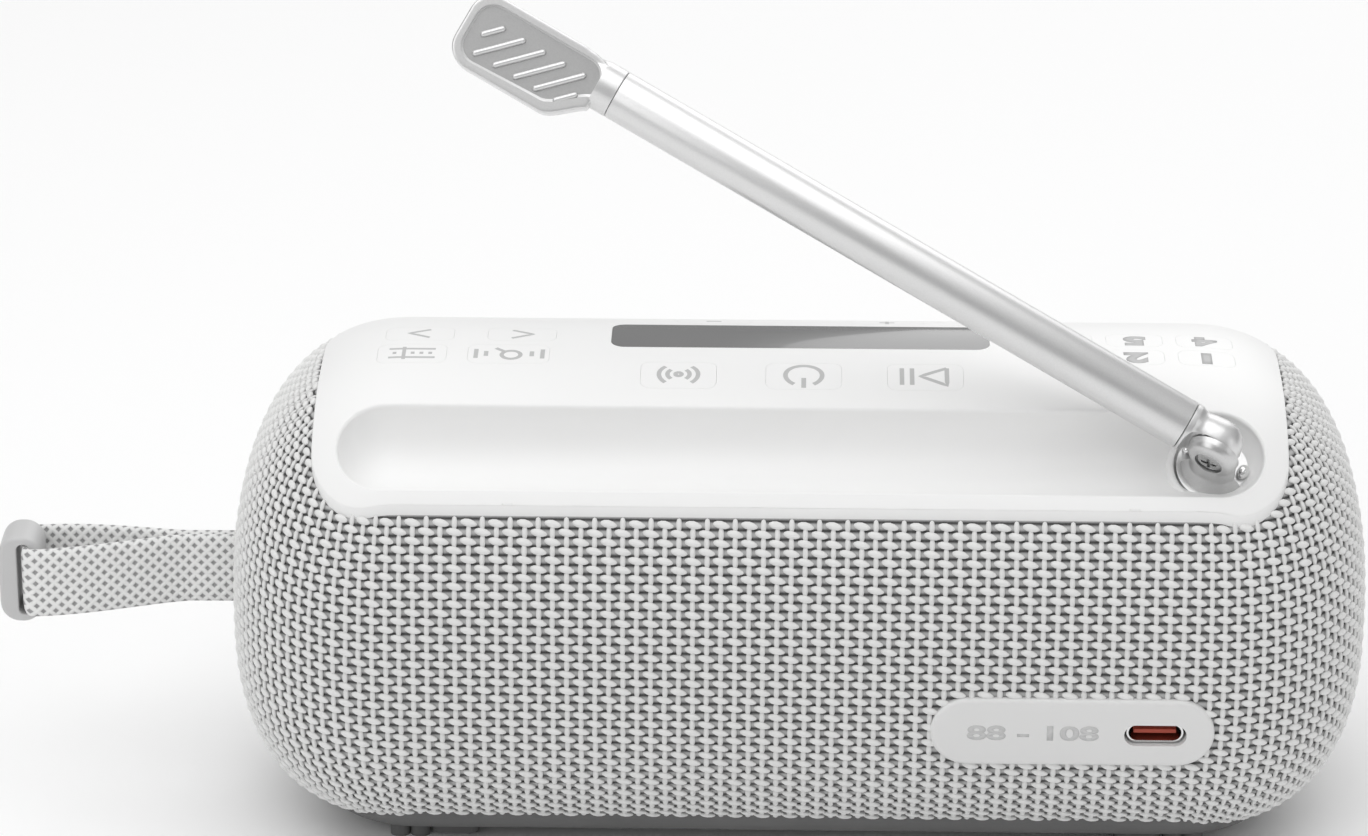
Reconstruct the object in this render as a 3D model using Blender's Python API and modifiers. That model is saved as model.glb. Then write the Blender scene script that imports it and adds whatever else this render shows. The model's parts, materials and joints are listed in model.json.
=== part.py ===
# Tabletop radio: fabric-covered body, top control panel, telescopic antenna on a turntable, carry strap.
# Frame: +Z up, +X towards the strap end, +Y towards the rear, where the label plate and socket are.
# The origin is the centre of the base pad's flat underside. Metres.

import math

import bmesh
import bpy
from mathutils import Matrix, Vector

MM = 0.001
GAP = 0.3 * MM                  # between pieces that touch

# Body: a superellipse section that is constant along the middle and closes over both ends
HALF_LENGTH = 91.8 * MM
STRAIGHT_HALF = HALF_LENGTH - 30.0 * MM       # half the length over which the section is constant
HALF_DEPTH = 37.7 * MM
WIDEST_Z = 34.0 * MM            # height at which the section is deepest
RISE = 43.5 * MM                # from the widest height to the crown
TOP_Z = WIDEST_Z + RISE
UPPER_EXPONENT = 2.53
LOWER_EXPONENT = 2.65
CAP_EXPONENT = 2.4
CAP_CLOSE = 2.5
AROUND = 36
ALONG = 16
STRAIGHT_SHARE = 1.0 / 8.0      # share of the rings of faces that lie on the straight middle

FABRIC = 1.4 * MM               # sleeve thickness
HOUSING_WALL = 2.2 * MM
PANEL_WALL = 2.4 * MM
CUT_REACH = 60.0 * MM           # how far a through cutter runs

# Top panel and base pad outlines, seen from above
PANEL_HALF_X = HALF_LENGTH - 15.2 * MM
PANEL_REAR_Y = 31.5 * MM
PANEL_FRONT_Y = -16.6 * MM
PANEL_CORNER = 9.5 * MM
PAD_HALF_X = HALF_LENGTH - 15.8 * MM
PAD_HALF_Y = 27.4 * MM
PAD_CORNER = 16.0 * MM
PAD_THICK = 1.4 * MM
PAD_SINK = 0.3 * MM             # the pad's skin lies this far inside the fabric's
PLATEAU_HALF_X = HALF_LENGTH - 41.8 * MM
PLATEAU_HALF_Y = 11.0 * MM
FOOT_HEIGHT = 1.0 * MM
FOOT_X = HALF_LENGTH - 29.2 * MM
FOOT_Y = 17.5 * MM
FOOT_LENGTH = 7.4 * MM
FOOT_WIDTH = 4.2 * MM

# Antenna bay: a trough along the rear shoulder of the panel
BAY_CENTRE = Vector((0.0, 24.3 * MM, TOP_Z - 7.45 * MM))
BAY_TILT = math.radians(53.0)   # elevation of the bay's outward normal
BAY_START_X = 26.6 * MM - HALF_LENGTH        # turntable end
BAY_END_X = HALF_LENGTH - 26.8 * MM
BAY_RADIUS = 7.2 * MM
BAY_DEPTH = 6.1 * MM
BAY_WALL = 1.6 * MM
WELL_RADIUS = 6.65 * MM
WELL_DEPTH = 5.4 * MM
WELL_FLOOR = 2.6 * MM

# Turntable and hinge
DISC_RADIUS = 6.35 * MM
DISC_THICK = 1.1 * MM
SHAFT_RADIUS = 2.5 * MM
SHAFT_RUN = 0.3 * MM            # running clearance round the shaft
CLIP_THICK = 0.8 * MM
GROOVE_RADIUS = 1.9 * MM
CLIP_RADIUS = 4.0 * MM
PIVOT_HEIGHT = 6.9 * MM         # hinge pin above the disc
REST_SWIVEL = math.radians(26.7)
REST_TILT = math.radians(13.6)
EAR_RADIUS = 4.2 * MM
EAR_FLARE = 1.6 * MM
LAP_AT = 1.6 * MM               # the lap plane, from the rod's axis towards the screw
LAP_GAP = 0.15 * MM             # from the lap plane to each side
COUNTERBORE_Y = 3.3 * MM
SCREW_HEAD_RADIUS = 2.1 * MM
SCREW_HEAD_THICK = 0.7 * MM
SCREW_SHANK_RADIUS = 1.2 * MM
SCREW_END_Y = -3.4 * MM

# Telescopic antenna, measured along the rod from the hinge pin
ROD_RADIUS = 4.0 * MM
COLLAR_START = 4.9 * MM
SEAM = 5.9 * MM
TUBE_LENGTH = 102.4 * MM
SPIGOT = 5.5 * MM
STAGE_RADII = [(4.0, 3.5), (3.3, 2.9), (2.7, 2.3), (2.1, 1.7)]   # outer and inner, mm
TIP_ROD_RADIUS = 1.5 * MM
NECK_LENGTH = 4.4 * MM
BLADE_LENGTH = 22.1 * MM
BLADE_WIDTH = 12.6 * MM
BLADE_THICK = 5.4 * MM
SHOULDER = 4.0 * MM                  # the neck's taper into the blade
BLADE_CORNER = 3.6 * MM
FACE_INSET = 1.3 * MM
FACE_DEPTH = 0.5 * MM
RIB_COUNT = 6
RIB_ANGLE = math.radians(-45.0)
RIB_PITCH = 3.64 * MM
RIB_LONG = 8.7 * MM
RIB_SHORT = 4.1 * MM
RIB_WIDTH = 0.8 * MM
RIB_RISE = 0.4 * MM

# Display and keys on the panel
DISPLAY_HALF_X = 30.25 * MM
DISPLAY_Y = (-10.0 * MM, 0.9 * MM)
DISPLAY_CORNER = 2.2 * MM
DISPLAY_WALL = 1.2 * MM
MODULE_THICK = 2.4 * MM
MODULE_TOP = TOP_Z - 2.5 * MM
KEY_TRAVEL = 0.6 * MM
BOARD_HALF_X = HALF_LENGTH - 17.8 * MM
BOARD_TOP = TOP_Z - 5.1 * MM
BOARD_THICK = 1.2 * MM
KEYS = {                        # centre x, centre y, size x, size y in mm
    "power_key": (-0.6, 10.4, 12.0, 7.6),
    "link_key": (19.2, 10.4, 12.0, 7.6),
    "play_key": (-19.8, 10.4, 12.0, 7.6),
    "previous_key": (44.6, -4.2, 11.0, 6.0),
    "next_key": (61.0, -4.2, 11.0, 6.0),
    "scan_key": (46.4, 4.0, 13.0, 7.0),
    "band_key": (61.8, 4.0, 11.0, 7.0),
    "volume_up_key": (-14.0, -13.2, 12.0, 3.6),
    "volume_down_key": (14.0, -13.2, 12.0, 3.6),
}
PRESET_X = [-64.6, -53.4, -42.2]
PRESET_Y = [3.2, -3.8]
PRESET_SIZE = (9.0, 5.6)
KEY_CORNER = 1.6 * MM

# Label plate and USB socket on the rear
PLATE_X = (26.2 * MM - HALF_LENGTH, 71.0 * MM - HALF_LENGTH)
PLATE_Z = (21.6 * MM, 33.7 * MM)
PLATE_PROUD = 0.25 * MM
SOCKET_X = 35.6 * MM - HALF_LENGTH
SOCKET_Z = 27.5 * MM
SOCKET_HOLE = (9.8 * MM, 3.7 * MM)
SHELL_SIZE = (8.94 * MM, 3.26 * MM)
SHELL_WALL = 0.32 * MM
SHELL_Y = (28.6 * MM, 36.6 * MM)
TONGUE_SIZE = (6.7 * MM, 0.7 * MM)
TONGUE_Y = (28.6 * MM, 36.0 * MM)

# Strap and clip
STRAP_Z = 38.0 * MM
STRAP_WIDTH = 12.0 * MM
STRAP_THICK = 1.4 * MM
STRAP_EXIT_X = HALF_LENGTH + 0.6 * MM   # end of the fixed stretch, just outside the fabric
STRAP_START_X = HALF_LENGTH + 2.4 * MM  # where the strap bends, and the swinging stretch's round nose
STRAP_TURN_X = HALF_LENGTH + 32.2 * MM  # where the turn round the clip's inner bar begins
STRAP_TURN_REACH = 2.1 * MM
STRAP_MEET_X = HALF_LENGTH + 7.2 * MM   # the two strands lie together up to here
STRAP_BULGE = 4.5 * MM          # from the middle plane to each strand at the clip
SLOT_HALF_Y = 1.75 * MM
ANCHOR_X = HALF_LENGTH - 10.8 * MM
ANCHOR_HALF = (1.1 * MM, 0.5 * MM)
CLIP_X = (HALF_LENGTH + 31.1 * MM, HALF_LENGTH + 38.5 * MM)
CLIP_DEPTH = 10.6 * MM
CLIP_HEIGHT = 15.2 * MM

# Inside
SPEAKER_X = 34.0 * MM
RADIATOR_X = -36.0 * MM
DRIVER_Z = 35.0 * MM
DRIVER_RADIUS = 23.0 * MM
BAFFLE_Y = -26.8 * MM
CONE_RADIUS = 18.5 * MM
FLANGE_THICK = 1.4 * MM
BASKET_DEPTH = 15.0 * MM
BASKET_NECK = 13.0 * MM
BASKET_BORE = 7.0 * MM
BASKET_WALL = 1.0 * MM
CONE_DEPTH = 8.0 * MM
CONE_WALL = 0.8 * MM
CAP_RADIUS = 6.0 * MM
ROLL_RADIUS = 1.8 * MM               # half round of the cone's surround
ROLL_WALL = 0.6 * MM
MAGNET_RADIUS = 15.0 * MM
MAGNET_THICK = 8.0 * MM
RADIATOR_THICK = 3.0 * MM
CELL_RADIUS = 9.2 * MM
CELL_LENGTH = 65.0 * MM
CELL_X = 8.0 * MM
CELL_Y = 15.0 * MM
CELL_Z = (17.5 * MM, 38.5 * MM)
TRAY_WALL = 2.0 * MM
TRAY_DEPTH = 12.0 * MM
TRAY_LIP = 1.0 * MM
TRAY_MARGIN = 8.0 * MM
BOSS_X = HALF_LENGTH - 22.8 * MM
BOSS_Z = (16.0 * MM, 50.0 * MM)
BOSS_RADIUS = 3.8 * MM
BOSS_BORE = 2.6 * MM
SCREW_RADIUS = 1.25 * MM
MAIN_BOARD_X = (16.8 * MM - HALF_LENGTH, 57.8 * MM - HALF_LENGTH)
TUNER_X = (19.8 * MM - HALF_LENGTH, 41.8 * MM - HALF_LENGTH)
TUNER_Y = (-8.0 * MM, 10.0 * MM)
TUNER_THICK = 2.8 * MM
MAIN_BOARD_Y = (-14.0 * MM, 28.2 * MM)
MAIN_BOARD_TOP = SOCKET_Z - SHELL_SIZE[1] / 2 - GAP


for old in list(bpy.data.objects):
    bpy.data.objects.remove(old, do_unlink=True)

parts = bpy.data.collections.new("tabletop_radio")
cutters = bpy.data.collections.new("cutters")
bpy.context.scene.collection.children.link(parts)
bpy.context.scene.collection.children.link(cutters)


def make_material(name, color, roughness, metallic=0.0):
    material = bpy.data.materials.new(name)
    material.use_nodes = True
    shader = material.node_tree.nodes["Principled BSDF"]
    shader.inputs["Base Color"].default_value = (*color, 1.0)
    shader.inputs["Roughness"].default_value = roughness
    shader.inputs["Metallic"].default_value = metallic
    return material


LOOKS = {
    "fabric": ((0.66, 0.66, 0.65), 0.9),
    "housing": ((0.32, 0.32, 0.33), 0.6),
    "panel": ((0.9, 0.9, 0.9), 0.45),
    "key": ((0.91, 0.91, 0.91), 0.45),
    "smoked": ((0.16, 0.16, 0.16), 0.12),
    "rubber": ((0.16, 0.16, 0.16), 0.8),
    "plate": ((0.62, 0.62, 0.61), 0.5),
    "clip": ((0.45, 0.45, 0.45), 0.5),
    "webbing": ((0.72, 0.72, 0.7), 0.85),
    "aluminium": ((0.78, 0.78, 0.78), 0.3, 1.0),
    "steel": ((0.6, 0.6, 0.6), 0.35, 1.0),
    "tongue": ((0.35, 0.07, 0.03), 0.5),
    "board": ((0.03, 0.18, 0.08), 0.5),
    "cell": ((0.05, 0.25, 0.5), 0.4),
    "cone": ((0.05, 0.05, 0.05), 0.7),
}
SLOTS = {name: make_material(name, *values) for name, values in LOOKS.items()}


def add_object(name, mesh, look, matrix=None):
    obj = bpy.data.objects.new(name, mesh)
    if look is None:
        cutters.objects.link(obj)
        obj.hide_render = True
        obj.display_type = "WIRE"
    else:
        parts.objects.link(obj)
        own = SLOTS[look].copy()
        own.name = name + "_" + look
        mesh.materials.append(own)
    if matrix is not None:
        obj.matrix_world = matrix
    return obj


def signed_power(value, exponent):
    return math.copysign(abs(value) ** exponent, value)


# The whole body's outer form, moved inwards by inset all over.
def body_form(name, inset, look=None):
    mesh = bpy.data.meshes.new(name)
    work = bmesh.new()
    bmesh.ops.create_uvsphere(work, u_segments=AROUND, v_segments=ALONG, radius=1.0)
    depth = HALF_DEPTH - inset
    cap = HALF_LENGTH - STRAIGHT_HALF - inset
    for vert in work.verts:
        station = 1.0 - 2.0 * math.acos(max(-1.0, min(1.0, vert.co.z))) / math.pi
        turn = math.atan2(vert.co.y, vert.co.x)
        if abs(station) < STRAIGHT_SHARE + 1e-6:
            x = STRAIGHT_HALF * station / STRAIGHT_SHARE
            shrink = 1.0
        else:
            share = (abs(station) - STRAIGHT_SHARE) / (1.0 - STRAIGHT_SHARE)
            angle = min(share, 1.0) * math.pi / 2
            x = math.copysign(STRAIGHT_HALF + cap * math.sin(angle) ** (2 / CAP_EXPONENT), station)
            shrink = max(math.cos(angle), 0.0) ** (2 / CAP_CLOSE)
        upper = math.sin(turn) >= 0
        exponent = 2 / (UPPER_EXPONENT if upper else LOWER_EXPONENT)
        height = (RISE if upper else WIDEST_Z) - inset
        y = depth * signed_power(math.cos(turn), exponent)
        z = height * signed_power(math.sin(turn), exponent)
        vert.co = (x, y * shrink, WIDEST_Z + z * shrink)
    work.to_mesh(mesh)
    work.free()
    return add_object(name, mesh, look)


def rounded_outline(width, height, radius, centre=(0.0, 0.0), steps=5):
    radius = min(radius, width / 2 - 1e-6, height / 2 - 1e-6)
    points = []
    for corner, (sx, sy) in enumerate([(1, 1), (-1, 1), (-1, -1), (1, -1)]):
        cx = centre[0] + sx * (width / 2 - radius)
        cy = centre[1] + sy * (height / 2 - radius)
        for step in range(steps + 1):
            angle = (corner + step / steps) * math.pi / 2
            points.append((cx + radius * math.cos(angle), cy + radius * math.sin(angle)))
    return points


# A flat outline given a thickness, from local z = low to z = high.
def plate(name, outline, low, high, look=None, matrix=None):
    curve = bpy.data.curves.new(name, "CURVE")
    curve.dimensions = "2D"
    curve.fill_mode = "BOTH"
    curve.extrude = (high - low) / 2
    spline = curve.splines.new("POLY")
    spline.points.add(len(outline) - 1)
    for point, (u, v) in zip(spline.points, outline):
        point.co = (u, v, 0.0, 1.0)
    spline.use_cyclic_u = True
    flat = bpy.data.objects.new(name + "_outline", curve)
    bpy.context.scene.collection.objects.link(flat)
    bpy.context.view_layer.update()
    evaluated = flat.evaluated_get(bpy.context.evaluated_depsgraph_get())
    mesh = bpy.data.meshes.new_from_object(evaluated)
    work = bmesh.new()
    work.from_mesh(mesh)
    bmesh.ops.remove_doubles(work, verts=work.verts, dist=1e-6)
    bmesh.ops.recalc_face_normals(work, faces=work.faces)
    bmesh.ops.translate(work, verts=work.verts, vec=(0, 0, (high + low) / 2))
    work.to_mesh(mesh)
    work.free()
    mesh.name = name
    bpy.data.objects.remove(flat, do_unlink=True)
    return add_object(name, mesh, look, matrix)


def cylinder(name, radius, low, high, look=None, matrix=None, sides=24, top_radius=None):
    mesh = bpy.data.meshes.new(name)
    work = bmesh.new()
    bmesh.ops.create_cone(
        work,
        cap_ends=True,
        segments=sides,
        radius1=radius,
        radius2=radius if top_radius is None else top_radius,
        depth=high - low,
    )
    bmesh.ops.translate(work, verts=work.verts, vec=(0, 0, (high + low) / 2))
    work.to_mesh(mesh)
    work.free()
    mesh.shade_smooth()
    mesh.set_sharp_from_angle(angle=math.radians(40))
    return add_object(name, mesh, look, matrix)


def ball(name, radius, matrix=None, sides=20):
    mesh = bpy.data.meshes.new(name)
    work = bmesh.new()
    bmesh.ops.create_uvsphere(work, u_segments=sides, v_segments=sides // 2, radius=radius)
    work.to_mesh(mesh)
    work.free()
    mesh.shade_smooth()
    return add_object(name, mesh, None, matrix)


def box(name, low, high, look=None, matrix=None):
    mesh = bpy.data.meshes.new(name)
    work = bmesh.new()
    bmesh.ops.create_cube(work, size=1.0)
    size = [b - a for a, b in zip(low, high)]
    centre = [(a + b) / 2 for a, b in zip(low, high)]
    bmesh.ops.scale(work, vec=size, verts=work.verts)
    bmesh.ops.translate(work, verts=work.verts, vec=centre)
    work.to_mesh(mesh)
    work.free()
    return add_object(name, mesh, look, matrix)


# A profile of (radius, height) pairs, running down its outer side, turned about local Z.
def turned(name, profile, look=None, matrix=None, sides=24, closed=False):
    mesh = bpy.data.meshes.new(name)
    work = bmesh.new()
    verts = [work.verts.new((radius, 0.0, height)) for radius, height in profile]
    for first, second in zip(verts, verts[1:]):
        work.edges.new((first, second))
    if closed:
        work.edges.new((verts[-1], verts[0]))
    work.to_mesh(mesh)
    work.free()
    obj = add_object(name, mesh, look, matrix)
    screw = obj.modifiers.new("turn", "SCREW")
    screw.steps = sides
    screw.render_steps = sides
    screw.use_merge_vertices = True
    screw.merge_threshold = 1e-6
    screw.use_smooth_shade = True
    return obj


def ring(name, outer, inner, low, high, look=None, matrix=None, sides=24):
    profile = [(outer, high), (outer, low), (inner, low), (inner, high)]
    return turned(name, profile, look, matrix, sides, closed=True)


def combine(obj, operation, *tools):
    for tool in tools:
        step = obj.modifiers.new(operation.lower(), "BOOLEAN")
        step.operation = operation
        step.object = tool
        step.solver = "EXACT"


def cut(obj, *tools):
    combine(obj, "DIFFERENCE", *tools)


def join(obj, *tools):
    combine(obj, "UNION", *tools)


def trim(obj, *tools):
    combine(obj, "INTERSECT", *tools)


# Moves an object's origin to a point, leaving its shape where it is.
def set_origin(obj, point):
    obj.data.transform(Matrix.Translation(-Vector(point)))
    obj.location = point


def frame_at(origin, x_axis, y_axis, z_axis):
    matrix = Matrix((x_axis, y_axis, z_axis)).transposed().to_4x4()
    matrix.translation = origin
    return matrix


def hang_on(name, point, objects):
    pivot = bpy.data.objects.new(name, None)
    parts.objects.link(pivot)
    pivot.empty_display_size = 10 * MM
    pivot.location = point
    bpy.context.view_layer.update()
    for obj in objects:
        obj.parent = pivot
        obj.matrix_parent_inverse = pivot.matrix_world.inverted()
    return pivot


X = Vector((1.0, 0.0, 0.0))
Y = Vector((0.0, 1.0, 0.0))
Z = Vector((0.0, 0.0, 1.0))
OUTWARD = Vector((0.0, math.cos(BAY_TILT), math.sin(BAY_TILT)))
DOWNSLOPE = OUTWARD.cross(X)
BAY = frame_at(BAY_CENTRE, X, DOWNSLOPE, OUTWARD)
REARWARD = frame_at(Vector((0, 0, 0)), X, Z * -1, Y)        # local z runs towards the rear

OUTER = body_form("outer_form", 0.0)
PANEL_CENTRE = (0.0, (PANEL_REAR_Y + PANEL_FRONT_Y) / 2)
PANEL_SIZE = (2 * PANEL_HALF_X, PANEL_REAR_Y - PANEL_FRONT_Y)


def panel_prism(name, grow):
    outline = rounded_outline(
        PANEL_SIZE[0] + 2 * grow, PANEL_SIZE[1] + 2 * grow, PANEL_CORNER + grow, PANEL_CENTRE
    )
    return plate(name, outline, WIDEST_Z + 12 * MM, TOP_Z + 10 * MM)


def pad_prism(name, grow):
    outline = rounded_outline(2 * (PAD_HALF_X + grow), 2 * (PAD_HALF_Y + grow), PAD_CORNER + grow)
    return plate(name, outline, -10 * MM, WIDEST_Z / 2)


def plate_prism(name, grow, look=None):
    width = PLATE_X[1] - PLATE_X[0] + 2 * grow
    height = PLATE_Z[1] - PLATE_Z[0] + 2 * grow
    centre = (sum(PLATE_X) / 2, -sum(PLATE_Z) / 2)
    outline = rounded_outline(width, height, height / 2, centre)
    return plate(name, outline, HALF_DEPTH / 2, CUT_REACH, look, REARWARD)


def make_sleeve():
    sleeve = body_form("fabric_sleeve", 0.0, "fabric")
    cut(sleeve, body_form("sleeve_hollow", FABRIC))
    cut(sleeve, panel_prism("sleeve_top_cut", GAP), pad_prism("sleeve_base_cut", GAP))
    cut(sleeve, plate_prism("sleeve_plate_cut", GAP), strap_slot("sleeve_slot"))
    return sleeve


def strap_slot(name):
    half = STRAP_WIDTH / 2 + GAP
    low = (STRAIGHT_HALF, -SLOT_HALF_Y, STRAP_Z - half)
    return box(name, low, (HALF_LENGTH + 5 * MM, SLOT_HALF_Y, STRAP_Z + half))


def boss_frame(x, z):
    return frame_at(Vector((x, 0, z)), X, Z * -1, Y)


BOSSES = [(sx * BOSS_X, z) for sx in (-1, 1) for z in BOSS_Z]
BOSS_FACE = 8.0 * MM            # where the screw heads seat
BOSS_FRONT = -14.0 * MM


def make_housing(name, side, look):
    skin = FABRIC + GAP
    housing = body_form(name, skin, look)
    cut(housing, body_form(name + "_hollow", skin + HOUSING_WALL))
    for number, (x, z) in enumerate(BOSSES, 1):
        spot = boss_frame(x, z)
        near, far = (0.0, HALF_DEPTH) if side > 0 else (-HALF_DEPTH, 0.0)
        join(housing, cylinder(f"{name}_boss_{number}", BOSS_RADIUS, near, far, None, spot, 12))
    if side < 0:
        for key, x in (("speaker", SPEAKER_X), ("radiator", RADIATOR_X)):
            spot = boss_frame(x, DRIVER_Z)
            baffle = cylinder(f"{key}_baffle", DRIVER_RADIUS + 2 * MM, -HALF_DEPTH, BAFFLE_Y, None, spot, 24)
            join(housing, baffle)
    trim(housing, body_form(name + "_skin", skin))
    reach = HALF_LENGTH + 20 * MM
    if side > 0:
        low, high = (-reach, GAP / 2, -reach), (reach, reach, reach)
    else:
        low, high = (-reach, -reach, -reach), (reach, -GAP / 2, reach)
    trim(housing, box(name + "_half", low, high))
    cut(housing, panel_prism(name + "_top_cut", GAP), strap_slot(name + "_slot"))
    for number, (x, z) in enumerate(BOSSES, 1):
        spot = boss_frame(x, z)
        if side > 0:
            bore = cylinder(f"{name}_bore_{number}", BOSS_BORE, BOSS_FACE, CUT_REACH, None, spot, 12)
            radius = SCREW_RADIUS + GAP
            hole = cylinder(f"{name}_hole_{number}", radius, -GAP, BOSS_FACE + GAP, None, spot, 12)
            cut(housing, bore, hole)
        else:
            pilot = cylinder(f"{name}_pilot_{number}", SCREW_RADIUS + GAP, BOSS_FRONT, GAP, None, spot, 12)
            cut(housing, pilot)
    if side > 0:
        cut(housing, plate_prism(name + "_plate_cut", GAP))
    else:
        for key, x in (("speaker", SPEAKER_X), ("radiator", RADIATOR_X)):
            spot = boss_frame(x, DRIVER_Z)
            radius = CONE_RADIUS + 2 * MM
            mouth = cylinder(f"{key}_mouth", radius, -CUT_REACH, BAFFLE_Y + 5 * MM, None, spot, 24)
            cut(housing, mouth)
    return housing


def make_housing_screws():
    for number, (x, z) in enumerate(BOSSES, 1):
        head = BOSS_FACE + GAP
        profile = [
            (0.0, head + 1.6 * MM),
            (BOSS_BORE - GAP, head + 1.6 * MM),
            (BOSS_BORE - GAP, head),
            (SCREW_RADIUS, head),
            (SCREW_RADIUS, BOSS_FRONT + 2 * MM),
            (0.0, BOSS_FRONT + 1 * MM),
        ]
        turned(f"housing_screw_{number}", profile, "steel", boss_frame(x, z), 12)


def key_places():
    places = {name: [value * MM for value in values] for name, values in KEYS.items()}
    number = 1
    for y in PRESET_Y:
        for x in PRESET_X:
            places[f"preset_key_{number}"] = [v * MM for v in (x, y, *PRESET_SIZE)]
            number += 1
    return places


def key_outline(place, grow):
    x, y, width, depth = place
    return rounded_outline(width + 2 * grow, depth + 2 * grow, KEY_CORNER + grow, (x, y), 3)


def display_outline(grow):
    low, high = DISPLAY_Y
    size = (2 * DISPLAY_HALF_X + 2 * grow, high - low + 2 * grow)
    return rounded_outline(*size, DISPLAY_CORNER + grow, (0.0, (low + high) / 2), 4)


SKY = TOP_Z + 5 * MM
UNDER = TOP_Z - 12 * MM


# A ball drawn out along X between the two ends of the bay, and flattened across its mouth.
def bay_capsule(name, grow):
    radius = BAY_RADIUS + grow
    mesh = bpy.data.meshes.new(name)
    work = bmesh.new()
    bmesh.ops.create_uvsphere(work, u_segments=28, v_segments=13, radius=radius)
    for vert in work.verts:
        vert.co.x *= (BAY_DEPTH + grow) / radius
        vert.co.z += BAY_END_X if vert.co.z > 0 else BAY_START_X
    work.to_mesh(mesh)
    work.free()
    return add_object(name, mesh, None, frame_at(BAY_CENTRE, OUTWARD, DOWNSLOPE * -1, X))


def make_panel():
    panel = body_form("top_panel", 0.0, "panel")
    cut(panel, body_form("panel_hollow", PANEL_WALL))
    trim(panel, panel_prism("panel_outline", 0.0))
    tub = bay_capsule("bay_tub", BAY_WALL)
    well_spot = BAY @ Matrix.Translation((BAY_START_X, 0, 0))
    join(tub, cylinder("well_wall", WELL_RADIUS + BAY_WALL, -WELL_DEPTH - WELL_FLOOR, 0, None, well_spot, 32))
    trim(tub, body_form("tub_limit", 0.05 * MM))
    join(panel, tub)
    cavity = bay_capsule("bay_cavity", 0.0)
    length = BAY_END_X - BAY_START_X + 2 * BAY_RADIUS
    middle = ((BAY_START_X + BAY_END_X) / 2, 0.0)
    mouth = rounded_outline(length, 2 * BAY_RADIUS, BAY_RADIUS, middle, 8)
    join(cavity, plate("bay_mouth", mouth, 0.0, 12 * MM, None, BAY))
    join(cavity, cylinder("well", WELL_RADIUS, -WELL_DEPTH, 6 * MM, None, well_spot, 32))
    hole_radius = SHAFT_RADIUS + SHAFT_RUN
    join(cavity, cylinder("shaft_hole", hole_radius, -3 * WELL_DEPTH, -WELL_DEPTH + GAP, None, well_spot, 20))
    cut(panel, cavity)
    cut(panel, plate("display_hole", display_outline(GAP), UNDER, SKY))
    for name, place in key_places().items():
        cut(panel, plate(name + "_hole", key_outline(place, GAP), UNDER, SKY))
    return panel


def make_keys():
    for name, place in key_places().items():
        key = body_form(name, 0.0, "key")
        cut(key, body_form(name + "_hollow", PANEL_WALL))
        trim(key, plate(name + "_outline", key_outline(place, 0.0), UNDER, SKY))
        set_origin(key, (place[0], place[1], TOP_Z))
    low = (-BOARD_HALF_X, PANEL_FRONT_Y + 3 * MM)
    high = (BOARD_HALF_X, 12.4 * MM)
    centre = ((low[0] + high[0]) / 2, (low[1] + high[1]) / 2)
    outline = rounded_outline(high[0] - low[0], high[1] - low[1], 4 * MM, centre, 3)
    board = plate("keypad_board", outline, BOARD_TOP - BOARD_THICK, BOARD_TOP, "board")
    opening = (DISPLAY_HALF_X + 1.5 * MM, DISPLAY_Y[0] - 1.5 * MM, DISPLAY_Y[1] + 1.5 * MM)
    window = box("board_window", (-opening[0], opening[1], UNDER), (opening[0], opening[2], SKY))
    cut(board, window)
    trim(board, body_form("board_limit", PANEL_WALL + KEY_TRAVEL + GAP))
    window = body_form("display_window", 0.0, "smoked")
    cut(window, body_form("window_hollow", DISPLAY_WALL))
    trim(window, plate("window_outline", display_outline(0.0), UNDER, SKY))
    module_low = (-DISPLAY_HALF_X + 1 * MM, DISPLAY_Y[0] + 1 * MM, MODULE_TOP - MODULE_THICK)
    module_high = (DISPLAY_HALF_X - 1 * MM, DISPLAY_Y[1] - 1 * MM, MODULE_TOP)
    box("display_module", module_low, module_high, "cone")


def make_base_pad():
    pad = body_form("base_pad", PAD_SINK, "rubber")
    cut(pad, body_form("pad_hollow", PAD_SINK + PAD_THICK))
    trim(pad, pad_prism("pad_outline", 0.0))
    plateau = rounded_outline(2 * PLATEAU_HALF_X, 2 * PLATEAU_HALF_Y, 6 * MM)
    join(pad, plate("plateau", plateau, 0.0, PAD_SINK + PAD_THICK / 2))
    for number, (sx, sy) in enumerate([(-1, -1), (1, -1), (-1, 1), (1, 1)], 1):
        outline = rounded_outline(FOOT_LENGTH, FOOT_WIDTH, FOOT_WIDTH / 2, (sx * FOOT_X, sy * FOOT_Y), 4)
        foot = plate(f"foot_{number}", outline, -FOOT_HEIGHT, 6 * MM)
        trim(foot, body_form(f"foot_limit_{number}", -8 * MM))
        cut(foot, body_form(f"foot_trim_{number}", PAD_SINK + PAD_THICK / 2))
        join(pad, foot)


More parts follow.
